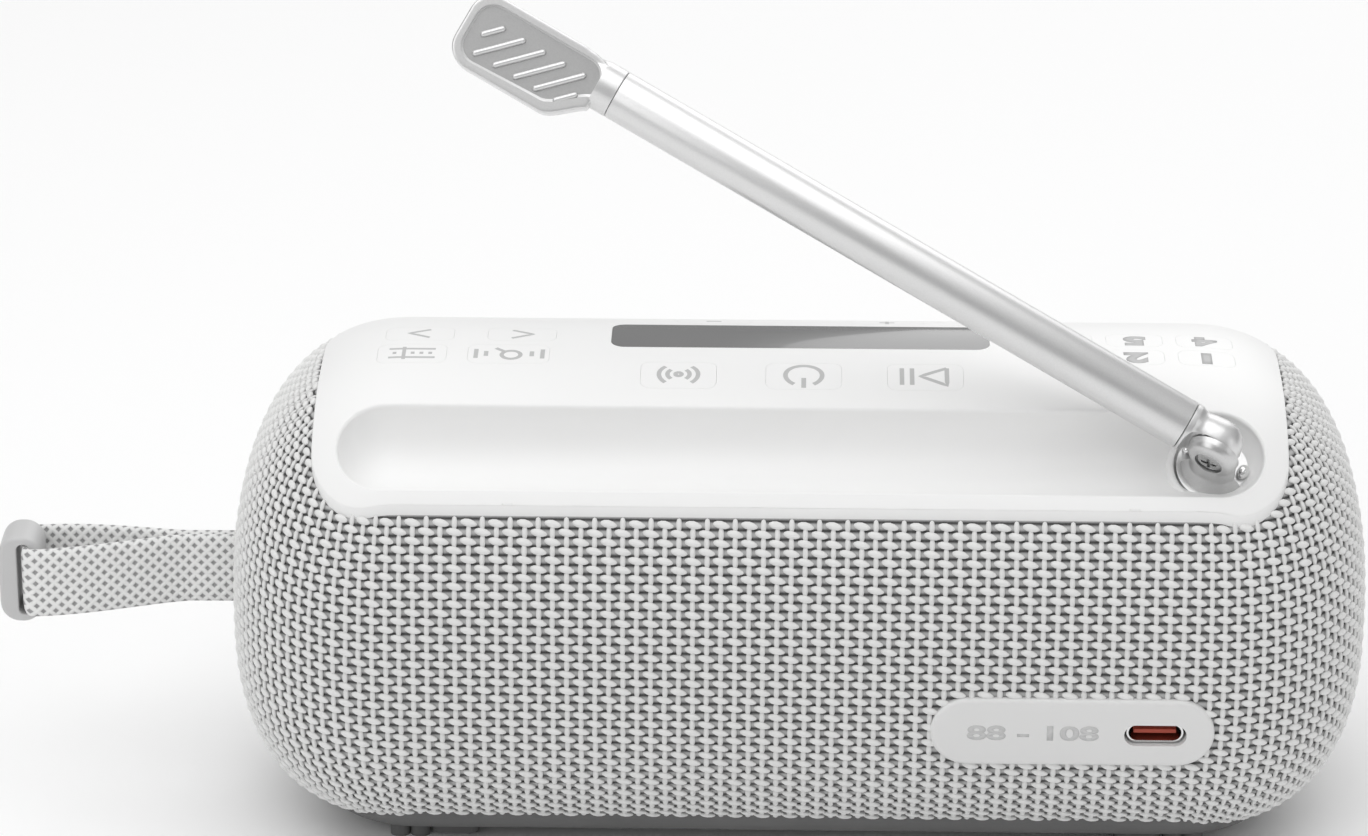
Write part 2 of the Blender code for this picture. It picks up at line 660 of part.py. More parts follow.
def make_label_plate():
    label = body_form("label_plate", -PLATE_PROUD, "plate")
    cut(label, body_form("label_hollow", FABRIC + HOUSING_WALL))
    trim(label, plate_prism("label_outline", 0.0))
    socket = rounded_outline(*SOCKET_HOLE, SOCKET_HOLE[1] / 2, (SOCKET_X, -SOCKET_Z), 5)
    cut(label, plate("socket_hole", socket, 20 * MM, CUT_REACH, None, REARWARD))
    outline = rounded_outline(*SHELL_SIZE, SHELL_SIZE[1] / 2, (SOCKET_X, -SOCKET_Z), 5)
    shell = plate("usb_shell", outline, *SHELL_Y, "steel", REARWARD)
    bore = [size - 2 * SHELL_WALL for size in SHELL_SIZE]
    inner = rounded_outline(*bore, bore[1] / 2, (SOCKET_X, -SOCKET_Z), 5)
    cut(shell, plate("shell_bore", inner, SHELL_Y[0] - GAP, SHELL_Y[1] + GAP, None, REARWARD))
    low = (SOCKET_X - TONGUE_SIZE[0] / 2, TONGUE_Y[0], SOCKET_Z - TONGUE_SIZE[1] / 2)
    high = (SOCKET_X + TONGUE_SIZE[0] / 2, TONGUE_Y[1], SOCKET_Z + TONGUE_SIZE[1] / 2)
    box("usb_tongue", low, high, "tongue")


DISC_CENTRE = BAY @ Vector((BAY_START_X, 0.0, DISC_THICK + GAP - WELL_DEPTH))
ALONG_DISC = (X * math.cos(REST_SWIVEL) - DOWNSLOPE * math.sin(REST_SWIVEL)).normalized()
HINGE_AXIS = OUTWARD.cross(ALONG_DISC).normalized()
TABLE = frame_at(DISC_CENTRE, ALONG_DISC, HINGE_AXIS, OUTWARD)
PIVOT = TABLE @ Vector((0.0, 0.0, PIVOT_HEIGHT))
ROD_AXIS = (ALONG_DISC * math.cos(REST_TILT) + OUTWARD * math.sin(REST_TILT)).normalized()
ROD_UP = ROD_AXIS.cross(HINGE_AXIS).normalized()
ROD = frame_at(PIVOT, HINGE_AXIS, ROD_UP, ROD_AXIS)         # local z runs up the rod
PIN = frame_at(PIVOT, ROD_UP, ROD_AXIS, HINGE_AXIS)         # local z runs along the hinge pin


def make_turntable():
    shaft_end = -(DISC_THICK + GAP + WELL_FLOOR)
    clip_low = shaft_end - GAP - CLIP_THICK
    profile = [
        (0.0, 0.0),
        (DISC_RADIUS - 0.3 * MM, 0.0),
        (DISC_RADIUS, -0.3 * MM),
        (DISC_RADIUS, -DISC_THICK),
        (SHAFT_RADIUS, -DISC_THICK),
        (SHAFT_RADIUS, shaft_end),
        (GROOVE_RADIUS, shaft_end),
        (GROOVE_RADIUS, clip_low - GAP),
        (SHAFT_RADIUS, clip_low - GAP),
        (SHAFT_RADIUS, clip_low - 1.0 * MM),
        (0.0, clip_low - 1.0 * MM),
    ]
    table = turned("turntable", profile, "aluminium", TABLE, 32)
    ear = cylinder("ear_post", EAR_RADIUS, -0.5 * MM, PIVOT_HEIGHT, None, TABLE)
    flare = cylinder(
        "ear_flare", EAR_RADIUS + EAR_FLARE, -0.5 * MM, EAR_FLARE, None, TABLE, 24, EAR_RADIUS - 0.1 * MM
    )
    join(ear, flare)
    join(ear, ball("ear_dome", EAR_RADIUS, TABLE @ Matrix.Translation((0, 0, PIVOT_HEIGHT))))
    reach = 2 * EAR_RADIUS
    trim(ear, box("ear_half", (-reach, LAP_AT + LAP_GAP, -0.4 * MM), (reach, reach, 2 * reach), None, TABLE))
    join(table, ear)
    cut(table, cylinder("ear_bore", SCREW_SHANK_RADIUS + GAP, -EAR_RADIUS, reach, None, PIN, 16))
    cut(table, cylinder("ear_counterbore", SCREW_HEAD_RADIUS + GAP, COUNTERBORE_Y, reach, None, PIN, 20))
    clip_bore = GROOVE_RADIUS + GAP
    clip = ring("turntable_clip", CLIP_RADIUS, clip_bore, clip_low, shaft_end - GAP, "steel", TABLE, 20)
    head = COUNTERBORE_Y + GAP / 2
    screw_profile = [
        (0.0, head + SCREW_HEAD_THICK),
        (SCREW_HEAD_RADIUS, head + SCREW_HEAD_THICK - 0.1 * MM),
        (SCREW_HEAD_RADIUS, head),
        (SCREW_SHANK_RADIUS, head),
        (SCREW_SHANK_RADIUS, SCREW_END_Y),
        (0.0, SCREW_END_Y),
    ]
    screw = turned("hinge_screw", screw_profile, "steel", PIN, 16)
    slot_depth = head + SCREW_HEAD_THICK - 0.35 * MM
    for turn in (0, 1):
        across = (1.3 * MM, 0.3 * MM) if turn else (0.3 * MM, 1.3 * MM)
        low = (-across[0], -across[1], slot_depth)
        cut(screw, box(f"screw_cross_{turn}", low, (*across, slot_depth + 2 * MM), None, PIN))
    hang_on("antenna_swivel_axis", DISC_CENTRE, [table, clip, screw])


def make_antenna():
    sides = 24
    knuckle = cylinder("knuckle", ROD_RADIUS, 0.0, SEAM - GAP / 2, "aluminium", ROD, sides)
    join(knuckle, ball("knuckle_dome", ROD_RADIUS, PIN))
    spigot_radius = STAGE_RADII[0][1] * MM - GAP
    join(knuckle, cylinder("knuckle_spigot", spigot_radius, SEAM - 1 * MM, SEAM + SPIGOT, None, ROD, sides))
    reach = 3 * ROD_RADIUS
    lap = box("knuckle_lap", (LAP_AT - LAP_GAP, -reach, -reach), (reach, reach, COLLAR_START), None, ROD)
    cut(knuckle, lap)
    bore = SCREW_SHANK_RADIUS + GAP
    cut(knuckle, cylinder("knuckle_bore", bore, -2 * ROD_RADIUS, ROD_RADIUS, None, PIN, 16))
    tube_top = SEAM + TUBE_LENGTH
    moving = [knuckle]
    low = SEAM + GAP / 2
    high = tube_top
    for number, (outer, inner) in enumerate(STAGE_RADII, 1):
        name = f"antenna_tube_{number}"
        moving.append(ring(name, outer * MM, inner * MM, low, high, "aluminium", ROD, sides))
        low = SEAM + SPIGOT + (number + 1) * MM
        high = tube_top - GAP
    moving.append(make_tip(tube_top, low))
    hang_on("antenna_tilt_axis", PIVOT, moving)


# The tip's blade is flush with the rod's upper side and hangs below the rod on the other.
def make_tip(tube_top, rod_low):
    up = Vector((-0.5, -0.366, 0.785))
    up = (up - ROD_AXIS * up.dot(ROD_AXIS)).normalized()
    face = up.cross(ROD_AXIS).normalized()                  # towards the blade's ribbed side
    neck_low = tube_top + GAP / 2
    blade_low = tube_top + NECK_LENGTH
    blade = frame_at(PIVOT, ROD_AXIS, up, ROD_AXIS.cross(up))
    centre = (blade_low + BLADE_LENGTH / 2, ROD_RADIUS - BLADE_WIDTH / 2)
    outline = rounded_outline(BLADE_LENGTH, BLADE_WIDTH, BLADE_CORNER, centre)
    tip = plate("antenna_tip", outline, -BLADE_THICK / 2, BLADE_THICK / 2, "aluminium", blade)
    upright = frame_at(PIVOT, face, up, ROD_AXIS)
    join(tip, cylinder("tip_rod", TIP_ROD_RADIUS, rod_low, tube_top + 2 * MM, None, upright, 16))
    join(tip, cylinder("tip_neck", ROD_RADIUS, neck_low, blade_low + 0.5 * MM, None, upright, 24))
    low, high = blade_low + 0.4 * MM, blade_low + SHOULDER
    join(tip, cylinder("tip_shoulder", ROD_RADIUS, low, high, None, upright, 24, BLADE_THICK / 2))
    inner = rounded_outline(
        BLADE_LENGTH - 2 * FACE_INSET, BLADE_WIDTH - 2 * FACE_INSET, BLADE_CORNER - FACE_INSET / 2, centre
    )
    floor = -BLADE_THICK / 2 + FACE_DEPTH
    recess = plate("tip_recess", inner, -3 * BLADE_THICK, floor, None, blade)
    cut(tip, recess)
    for number in range(RIB_COUNT):
        length = RIB_SHORT if number in (0, RIB_COUNT - 1) else RIB_LONG
        station = centre[0] + (number - (RIB_COUNT - 1) / 2) * RIB_PITCH
        spot = blade @ Matrix.Translation((station, centre[1], 0)) @ Matrix.Rotation(RIB_ANGLE, 4, "Z")
        outline = rounded_outline(length, RIB_WIDTH, RIB_WIDTH / 2, steps=2)
        join(tip, plate(f"tip_rib_{number}", outline, floor - RIB_RISE, floor + RIB_RISE, None, spot))
    return tip


# Half the gap between the webbing's two middle lines at x.
def strap_half(x):
    together = STRAP_THICK / 2 + 0.05 * MM
    share = max(0.0, (x - STRAP_MEET_X) / (STRAP_TURN_X - STRAP_MEET_X))
    ease = math.sin(min(share, 1.0) * math.pi / 2) ** 1.3
    return together + (STRAP_BULGE - together) * ease


# A loop offset from the webbing's middle line.
def strap_outline(offset, start):
    stations = [start + (STRAP_TURN_X - start) * step / 12 for step in range(13)]
    rear = [(x, strap_half(x) + offset) for x in stations]
    turn = []
    for step in range(1, 10):
        angle = math.pi / 2 - math.pi * step / 10
        x = STRAP_TURN_X + (STRAP_TURN_REACH + offset) * math.cos(angle) ** 0.5
        y = (STRAP_BULGE + offset) * signed_power(math.sin(angle), 0.5)
        turn.append((x, y))
    front = [(x, -y) for x, y in reversed(rear)]
    return rear + turn + front


# The round end about which the swinging stretch turns.
def strap_nose(offset, start):
    radius = strap_half(start) + offset
    angles = [math.pi * step / 6 for step in range(1, 6)]
    return [(start - radius * math.sin(angle), -radius * math.cos(angle)) for angle in angles]


def make_strap():
    low = STRAP_Z - STRAP_WIDTH / 2
    high = STRAP_Z + STRAP_WIDTH / 2
    half = STRAP_THICK / 2
    outline = strap_outline(half, STRAP_START_X) + strap_nose(half, STRAP_START_X)
    strap = plate("strap_webbing", outline, low, high, "webbing")
    inner = strap_outline(-half, STRAP_MEET_X + 1.5 * MM)
    cut(strap, plate("strap_opening", inner, low - 1 * MM, high + 1 * MM))
    root_start = ANCHOR_X - 3 * MM
    root_high = (STRAP_EXIT_X, STRAP_THICK, high)
    root = box("strap_root", (root_start, -STRAP_THICK, low), root_high, "webbing")
    eye_low = (ANCHOR_X - ANCHOR_HALF[0] - GAP, -ANCHOR_HALF[1] - GAP, low - 1 * MM)
    eye_high = (ANCHOR_X + ANCHOR_HALF[0] + GAP, ANCHOR_HALF[1] + GAP, high + 1 * MM)
    cut(root, box("root_eye", eye_low, eye_high))
    anchor_size = (*ANCHOR_HALF, STRAP_WIDTH / 2 + 4 * MM)
    anchor_spot = Matrix.Translation((ANCHOR_X, 0, STRAP_Z))
    box("strap_anchor", [-size for size in anchor_size], anchor_size, "steel", anchor_spot)
    clip_width = CLIP_X[1] - CLIP_X[0]
    outline = rounded_outline(clip_width, CLIP_HEIGHT, clip_width / 2, (sum(CLIP_X) / 2, -STRAP_Z))
    clip = plate("strap_end_clip", outline, -CLIP_DEPTH / 2, CLIP_DEPTH / 2, "clip", REARWARD)
    path_start = CLIP_X[0] - 8 * MM
    path = plate("clip_slot", strap_outline(half + GAP, path_start), low - GAP, high + GAP)
    bar_outline = strap_outline(-half - GAP, path_start - 1 * MM)
    cut(path, plate("clip_bar", bar_outline, low - 2 * GAP, high + 2 * GAP))
    cut(clip, path)
    hang_on("strap_swing_axis", Vector((STRAP_START_X, 0, STRAP_Z)), [strap, clip])


def make_speaker():
    spot = boss_frame(SPEAKER_X, DRIVER_Z)
    face = BAFFLE_Y + GAP
    rear = face + BASKET_DEPTH
    frame_profile = [
        (CONE_RADIUS + FLANGE_THICK, face + FLANGE_THICK),
        (BASKET_NECK, rear),
        (BASKET_BORE, rear),
        (BASKET_BORE, rear - BASKET_WALL),
        (BASKET_NECK - BASKET_WALL, rear - BASKET_WALL),
        (CONE_RADIUS, face),
        (DRIVER_RADIUS, face),
        (DRIVER_RADIUS, face + FLANGE_THICK),
    ]
    turned("speaker_frame", frame_profile[::-1], "steel", spot, 24, closed=True)
    cone_rim = CONE_RADIUS - 2 * ROLL_RADIUS - CONE_WALL
    cone_profile = [
        (0.0, face + CONE_DEPTH),
        (CAP_RADIUS, face + CONE_DEPTH + CONE_WALL),
        (cone_rim, face + 2 * CONE_WALL),
        (cone_rim, face + CONE_WALL),
        (CAP_RADIUS, face + CONE_DEPTH - CONE_WALL / 2),
        (0.0, face + CONE_DEPTH - CONE_WALL),
    ]
    turned("speaker_cone", cone_profile, "cone", spot, 24)
    middle = CONE_RADIUS - ROLL_RADIUS - ROLL_WALL
    roll = []
    for step in range(5):
        angle = math.pi * step / 4
        roll.append((middle + ROLL_RADIUS * math.cos(angle), face - ROLL_RADIUS * math.sin(angle)))
    bore = ROLL_RADIUS - ROLL_WALL
    for step in range(5):
        angle = math.pi - math.pi * step / 4
        roll.append((middle + bore * math.cos(angle), face - bore * math.sin(angle) + 0.1 * MM))
    turned("speaker_surround", roll, "rubber", spot, 24, closed=True)
    cylinder("speaker_magnet", MAGNET_RADIUS, rear + GAP, rear + MAGNET_THICK, "steel", spot, 24)
    spot = boss_frame(RADIATOR_X, DRIVER_Z)
    cylinder("passive_radiator", DRIVER_RADIUS, face, face + RADIATOR_THICK, "cone", spot, 24)


def make_power():
    reach = CELL_LENGTH / 2
    low_x = CELL_X - reach
    high_x = CELL_X + reach
    tray_low = (low_x - TRAY_WALL, CELL_Y - TRAY_DEPTH, CELL_Z[0] - TRAY_MARGIN)
    tray_high = (high_x + TRAY_WALL, CELL_Y - TRAY_LIP, CELL_Z[1] + TRAY_MARGIN)
    tray = box("battery_tray", tray_low, tray_high, "housing")
    for number, z in enumerate(CELL_Z, 1):
        spot = frame_at(Vector((0, CELL_Y, z)), Y, Z, X)
        bore = CELL_RADIUS + GAP
        cut(tray, cylinder(f"cradle_{number}", bore, low_x - 5 * MM, high_x + 5 * MM, None, spot, 24))
        cylinder(f"battery_cell_{number}", CELL_RADIUS, low_x, high_x, "cell", spot, 24)
    low = (MAIN_BOARD_X[0], MAIN_BOARD_Y[0], MAIN_BOARD_TOP - BOARD_THICK)
    box("main_board", low, (MAIN_BOARD_X[1], MAIN_BOARD_Y[1], MAIN_BOARD_TOP), "board")
    base = MAIN_BOARD_TOP + GAP
    tuner_low = (TUNER_X[0], TUNER_Y[0], base)
    box("tuner_module", tuner_low, (TUNER_X[1], TUNER_Y[1], base + TUNER_THICK), "steel")


make_sleeve()
make_housing("rear_housing", 1, "housing")
make_housing("front_housing", -1, "housing")
make_housing_screws()
make_panel()
make_keys()
make_base_pad()
make_label_plate()
make_turntable()
make_antenna()
make_strap()
make_speaker()
make_power()
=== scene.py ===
import math
from contextlib import contextmanager
from types import SimpleNamespace

import bmesh
import bpy
import numpy as np
from mathutils import Matrix, Vector
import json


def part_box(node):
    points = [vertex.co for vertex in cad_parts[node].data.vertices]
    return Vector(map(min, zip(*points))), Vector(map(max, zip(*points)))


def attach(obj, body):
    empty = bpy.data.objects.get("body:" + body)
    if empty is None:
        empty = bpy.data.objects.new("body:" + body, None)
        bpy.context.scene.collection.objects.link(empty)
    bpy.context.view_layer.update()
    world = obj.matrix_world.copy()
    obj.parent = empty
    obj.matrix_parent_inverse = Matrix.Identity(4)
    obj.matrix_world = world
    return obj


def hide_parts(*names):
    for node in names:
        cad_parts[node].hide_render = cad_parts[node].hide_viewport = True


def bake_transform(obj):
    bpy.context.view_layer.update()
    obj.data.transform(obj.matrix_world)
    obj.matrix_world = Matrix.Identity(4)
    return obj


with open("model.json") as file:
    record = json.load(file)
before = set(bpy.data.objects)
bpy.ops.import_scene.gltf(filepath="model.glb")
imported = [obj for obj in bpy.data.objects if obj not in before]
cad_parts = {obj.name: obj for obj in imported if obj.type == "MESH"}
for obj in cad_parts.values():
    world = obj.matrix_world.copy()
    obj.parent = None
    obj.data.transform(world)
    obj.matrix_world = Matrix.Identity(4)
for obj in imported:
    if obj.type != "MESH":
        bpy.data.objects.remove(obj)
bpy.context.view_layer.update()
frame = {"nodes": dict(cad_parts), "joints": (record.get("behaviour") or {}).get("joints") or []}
bpy.ops.object.select_all(action="DESELECT")
mm = 0.001


def inMm(*pairs):  # pairs of numbers written in millimetres
    return [tuple(value * mm for value in pair) for pair in pairs]


# ---- helpers for meshes


def clearSelection():
    if bpy.context.object and bpy.context.object.mode != "OBJECT":
        bpy.ops.object.mode_set(mode="OBJECT")
    bpy.ops.object.select_all(action="DESELECT")


def choose(piece):
    clearSelection()
    piece.select_set(True)
    bpy.context.view_layer.objects.active = piece


def takeNew(name):
    piece = bpy.context.object
    piece.name = name
    piece.data.name = name
    return piece


def link(name, data):  # a new object in the scene
    piece = bpy.data.objects.new(name, data)
    bpy.context.scene.collection.objects.link(piece)
    return piece


def runningLength(*steps):  # the length walked at each point of a line, from its steps
    return np.concatenate([[0], np.cumsum(np.hypot(*steps))])


def settle(piece, matrix=None):  # puts the object's own placing, then matrix, into its mesh
    bpy.context.view_layer.update()
    total = piece.matrix_world.copy()
    if matrix is not None:
        total = matrix @ total
    piece.data.transform(total)
    piece.matrix_world = Matrix.Identity(4)
    return piece


def applyModifier(piece, kind, **settings):
    choose(piece)
    step = piece.modifiers.new(kind.title(), kind)
    for key, value in settings.items():
        setattr(step, key, value)
    bpy.ops.object.modifier_apply(modifier=step.name)
    return piece


def boolean(piece, operation, tool, removeTool=True):
    applyModifier(piece, "BOOLEAN", operation=operation, object=tool, solver="EXACT")
    if removeTool:
        bpy.data.objects.remove(tool, do_unlink=True)
    return piece


def roundOff(piece, width, segments=3, angle=35):
    limit = {"limit_method": "ANGLE", "angle_limit": math.radians(angle)}
    return applyModifier(piece, "BEVEL", width=width, segments=segments, **limit)


def shadeByAngle(piece, angle=35):
    choose(piece)
    bpy.ops.object.shade_smooth_by_angle(angle=math.radians(angle))
    return piece


@contextmanager
def editing(piece):  # opens a piece's mesh for edits, and writes it back
    work = bmesh.new()
    work.from_mesh(piece.data)
    yield work
    work.to_mesh(piece.data)
    work.free()


def mend(piece):  # merges doubles and turns the faces outwards
    with editing(piece) as work:
        bmesh.ops.remove_doubles(work, verts=work.verts, dist=2e-6)
        bmesh.ops.dissolve_degenerate(work, edges=work.edges, dist=1e-7)
        bmesh.ops.recalc_face_normals(work, faces=work.faces)
    return piece


def joinAll(name, pieces):
    clearSelection()
    for piece in pieces:
        piece.select_set(True)
    bpy.context.view_layer.objects.active = pieces[0]
    if len(pieces) > 1:
        bpy.ops.object.join()
    return takeNew(name)


def remesh(piece, voxel, smoothSteps=4):
    applyModifier(piece, "REMESH", mode="VOXEL", voxel_size=voxel, use_smooth_shade=True)
    if smoothSteps:
        applyModifier(piece, "SMOOTH", factor=0.5, iterations=smoothSteps)
    return piece


def addBall(name, radius, centre=(0, 0, 0), segments=32, rings=20):
    clearSelection()
    bpy.ops.mesh.primitive_uv_sphere_add(radius=radius, location=centre, segments=segments, ring_count=rings)
    return settle(takeNew(name))


def addRod(name, radius, low, high, sides=48, topRadius=None):  # along local z
    clearSelection()
    bpy.ops.mesh.primitive_cone_add(
        vertices=sides,
        radius1=radius,
        radius2=radius if topRadius is None else topRadius,
        depth=high - low,
        location=(0, 0, (low + high) / 2),
    )
    return settle(takeNew(name))


def addBlock(name, low, high):
    clearSelection()
    size = [b - a for a, b in zip(low, high)]
    centre = [(a + b) / 2 for a, b in zip(low, high)]
    bpy.ops.mesh.primitive_cube_add(size=1, location=centre, scale=size)
    return settle(takeNew(name))


def addTurned(name, profile, sides=64, closed=False):  # (radius, height) pairs turned about local z
    count = len(profile)
    edges = [(i, (i + 1) % count) for i in range(count if closed else count - 1)]
    piece = addMesh(name, [(radius, 0.0, height) for radius, height in profile], [], edges)
    settings = {"steps": sides, "render_steps": sides, "use_merge_vertices": True, "merge_threshold": 1e-6}
    applyModifier(piece, "SCREW", **settings)
    return mend(piece)


def outlinePoints(width, height, radius, centre=(0.0, 0.0), steps=10):
    radius = min(radius, width / 2 - 1e-6, height / 2 - 1e-6)
    points = []
    for corner, (sx, sy) in enumerate([(1, 1), (-1, 1), (-1, -1), (1, -1)]):
        cx = centre[0] + sx * (width / 2 - radius)
        cy = centre[1] + sy * (height / 2 - radius)
        for step in range(steps + 1):
            angle = (corner + step / steps) * math.pi / 2
            points.append((cx + radius * math.cos(angle), cy + radius * math.sin(angle)))
    return points


def addPlate(name, outlines, low, high):  # flat outlines, the second and later ones being holes
    curve = bpy.data.curves.new(name, "CURVE")
    curve.dimensions = "2D"
    curve.fill_mode = "BOTH"
    curve.extrude = (high - low) / 2
    for outline in outlines:
        spline = curve.splines.new("POLY")
        spline.points.add(len(outline) - 1)
        for point, (u, v) in zip(spline.points, outline):
            point.co = (u, v, 0.0, 1.0)
        spline.use_cyclic_u = True
    choose(link(name, curve))
    bpy.ops.object.convert(target="MESH")
    piece = takeNew(name)
    piece.data.transform(Matrix.Translation((0, 0, (low + high) / 2)))
    return mend(piece)


def addMesh(name, points, faces, edges=()):
    mesh = bpy.data.meshes.new(name)
    mesh.from_pydata([tuple(p) for p in points], edges, faces)
    return link(name, mesh)


def smoothAll(piece):
    piece.data.polygons.foreach_set("use_smooth", [True] * len(piece.data.polygons))


def setCorners(piece, name, corners):  # one UV pair for each face corner
    layer = piece.data.uv_layers.new(name=name)
    layer.data.foreach_set("uv", np.array(corners, np.float32).ravel())


def addRings(name, rings, closed=True, smooth=True):  # bridges rings of equal length, in order
    count = len(rings[0])
    points = np.concatenate(rings)
    faces = []
    rows = len(rings)
    last = rows if closed else rows - 1
    for row in range(last):
        a = row * count
        b = (row + 1) % rows * count
        for i in range(count):
            j = (i + 1) % count
            faces.append((a + i, a + j, b + j, b + i))
    piece = mend(addMesh(name, points, faces))
    if smooth:
        shadeByAngle(piece, 40)
    return piece


def frameAt(origin, x, y, z):
    matrix = Matrix((x, y, z)).transposed().to_4x4()
    matrix.translation = origin
    return matrix


def finishPiece(piece, body, finish, replaced=()):
    piece.data.materials.clear()
    piece.data.materials.append(finishes[finish])
    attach(piece, body)
    if replaced:
        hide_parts(*replaced)
    return piece


# ---- materials


class Wire:  # a socket that takes part in arithmetic
    def __init__(self, tree, socket):
        self.tree = tree
        self.socket = socket

    def math(self, operation, *others):
        node = self.tree.nodes.new("ShaderNodeMath")
        node.operation = operation
        for index, value in enumerate((self, *others)):
            if isinstance(value, Wire):
                self.tree.links.new(value.socket, node.inputs[index])
            else:
                node.inputs[index].default_value = value
        return Wire(self.tree, node.outputs[0])

    def __add__(self, other):
        return self.math("ADD", other)

    __radd__ = __add__

    def __mul__(self, other):
        return self.math("MULTIPLY", other)

    __rmul__ = __mul__

    def __sub__(self, other):
        return self.math("SUBTRACT", other)

    def __rsub__(self, other):
        return (self * -1.0) + other

    def __truediv__(self, other):
        return self.math("DIVIDE", other)


class Paint:  # one material and its nodes
    def __init__(self, name, **shader):
        self.material = bpy.data.materials.new(name)
        self.material.use_nodes = True
        self.tree = self.material.node_tree
        self.shader = self.tree.nodes["Principled BSDF"]
        for key, value in shader.items():
            label = key.replace("_", " ")
            self.shader.inputs[label].default_value = (*value, 1.0) if isinstance(value, tuple) else value

    def node(self, kind, settings=None, inputs=None, output=0):
        node = self.tree.nodes.new(kind)
        for key, value in (settings or {}).items():
            if key == "stops":
                ramp = node.color_ramp.elements
                while len(ramp) < len(value):
                    ramp.new(0.5)
                for stop, (position, color) in zip(ramp, value):
                    stop.position = position
                    stop.color = (*color, 1.0) if isinstance(color, tuple) else (color, color, color, 1.0)
            else:
                setattr(node, key, value)
        for key, value in (inputs or {}).items():
            if isinstance(value, Wire):
                self.tree.links.new(value.socket, node.inputs[key])
            else:
                node.inputs[key].default_value = value
        return Wire(self.tree, node.outputs[output])

    def place(self, kind="Object"):
        return self.node("ShaderNodeTexCoord", output=kind)

    def noise(self, scale, detail=3.0, rough=0.5, vector=None):
        vector = vector or self.place()
        inputs = {"Scale": scale, "Detail": detail, "Roughness": rough, "Vector": vector}
        return self.node("ShaderNodeTexNoise", None, inputs)

    def stretched(self, scale, kind="Object"):
        return self.node("ShaderNodeMapping", None, {"Vector": self.place(kind), "Scale": scale})

    def ramp(self, factor, stops):
        return self.node("ShaderNodeValToRGB", {"stops": stops}, {"Fac": factor})

    def feed(self, label, wire):
        self.tree.links.new(wire.socket, self.shader.inputs[label])

    def tone(self, factor, low, high, tint=0.0):  # the base colour, between two greys
        self.feed("Base Color", self.ramp(factor, shades(grey(low, tint), grey(high, tint))))

    def bump(self, height, strength, distance):
        inputs = {"Height": height, "Strength": strength, "Distance": distance}
        self.feed("Normal", self.node("ShaderNodeBump", None, inputs))


def shades(low, high):
    return [(0.0, low), (1.0, high)]


def grey(value, tint=0.0):
    return (value, value, value * (1.0 - tint))


def mouldedPlastic(name, light, roughness, grain=0.35, tint=0.0, spread=0.02, grainScale=2600):
    paint = Paint(name)
    cloud = paint.noise(45, 2)
    paint.tone(cloud, light - spread, light + spread, tint)
    fine = paint.noise(grainScale, 2, 0.6)
    paint.feed("Roughness", cloud * 0.08 + (roughness - 0.04))
    paint.bump(fine, grain, 0.00002)
    return paint.material


def colouredPlastic(name, low, high, roughness):
    paint = Paint(name)
    cloud = paint.noise(120, 2)
    paint.feed("Base Color", paint.ramp(cloud, shades(low, high)))
    paint.feed("Roughness", cloud * 0.1 + roughness)
    paint.bump(paint.noise(2000, 2), 0.3, 0.00002)
    return paint.material


def satinAluminium(name, light=0.84, roughness=0.38, grain=0.5):
    paint = Paint(name, Metallic=1.0)
    fine = paint.noise(3800, 2, 0.7)
    cloud = paint.noise(60, 2)
    paint.tone(fine, light - 0.05, light + 0.05)
    paint.feed("Roughness", cloud * 0.06 + fine * 0.06 + (roughness - 0.06))
    paint.bump(fine, grain, 0.000012)
    return paint.material


def brightMetal(name, light=0.8, roughness=0.12):
    paint = Paint(name, Metallic=1.0)
    lines = paint.noise(900, 3, 0.6, paint.stretched((1, 1, 8)))
    paint.tone(lines, light - 0.04, light + 0.03)
    paint.feed("Roughness", lines * 0.1 + roughness)
    paint.bump(lines, 0.15, 0.00001)
    return paint.material


def yarn(name, light, spread=0.06):
    paint = Paint(name, Sheen_Weight=0.25, Sheen_Roughness=0.5)
    strand = paint.noise(700, 3, 0.6)
    fibre = paint.noise(5200, 2, 0.7)
    mix = strand * 0.6 + fibre * 0.4
    paint.tone(mix, light - spread, light + spread, 0.008)
    paint.feed("Roughness", fibre * 0.2 + 0.6)
    paint.bump(fibre, 0.5, 0.00006)
    return paint.material


def weaveGround(name):  # the darker cloth seen between the yarns: its own dark grey, with painted shade in the creases at each row's edge
    paint = Paint(name)
    fibre = paint.noise(3000, 3, 0.7)
    across = paint.node("ShaderNodeSeparateXYZ", None, {"Vector": paint.place("UV")}, 1)
    # painted shade: the ground goes nearly black towards each row's edge, where the yarns meet
    rowEdgeShade = (across * math.tau).math("COSINE") * 0.5 + 0.5
    tone = rowEdgeShade * 0.8 + fibre * 0.2
    stops = [(0.1, grey(0.05)), (0.3, grey(0.22)), (0.62, grey(0.46)), (1.0, grey(0.55))]
    paint.feed("Base Color", paint.ramp(tone, stops))
    paint.feed("Roughness", fibre * 0.15 + 0.8)
    paint.bump(tone, 0.6, 0.0001)
    return paint.material


def smokedGlass(name):
    paint = Paint(name, Coat_Roughness=0.03)
    cloud = paint.noise(30, 2)
    paint.tone(cloud, 0.135, 0.15)
    paint.feed("Roughness", cloud * 0.05 + 0.12)
    paint.feed("Coat Weight", cloud * 0.1 + 0.4)
    return paint.material


def rubberSkin(name, light=0.12):
    paint = Paint(name)
    fine = paint.noise(1500, 3, 0.6)
    cloud = paint.noise(50, 2)
    paint.tone(cloud, light * 0.85, light * 1.15)
    paint.feed("Roughness", fine * 0.15 + 0.65)
    paint.bump(fine, 0.4, 0.00004)
    return paint.material


def circuitBoard(name):
    paint = Paint(name)
    tracks = paint.noise(260, 1, 0.3)
    band = paint.ramp(tracks, [(0.48, (0.01, 0.1, 0.04)), (0.52, (0.02, 0.2, 0.08))])
    paint.feed("Base Color", band)
    paint.feed("Roughness", tracks * 0.2 + 0.35)
    paint.bump(tracks, 0.3, 0.00005)
    return paint.material


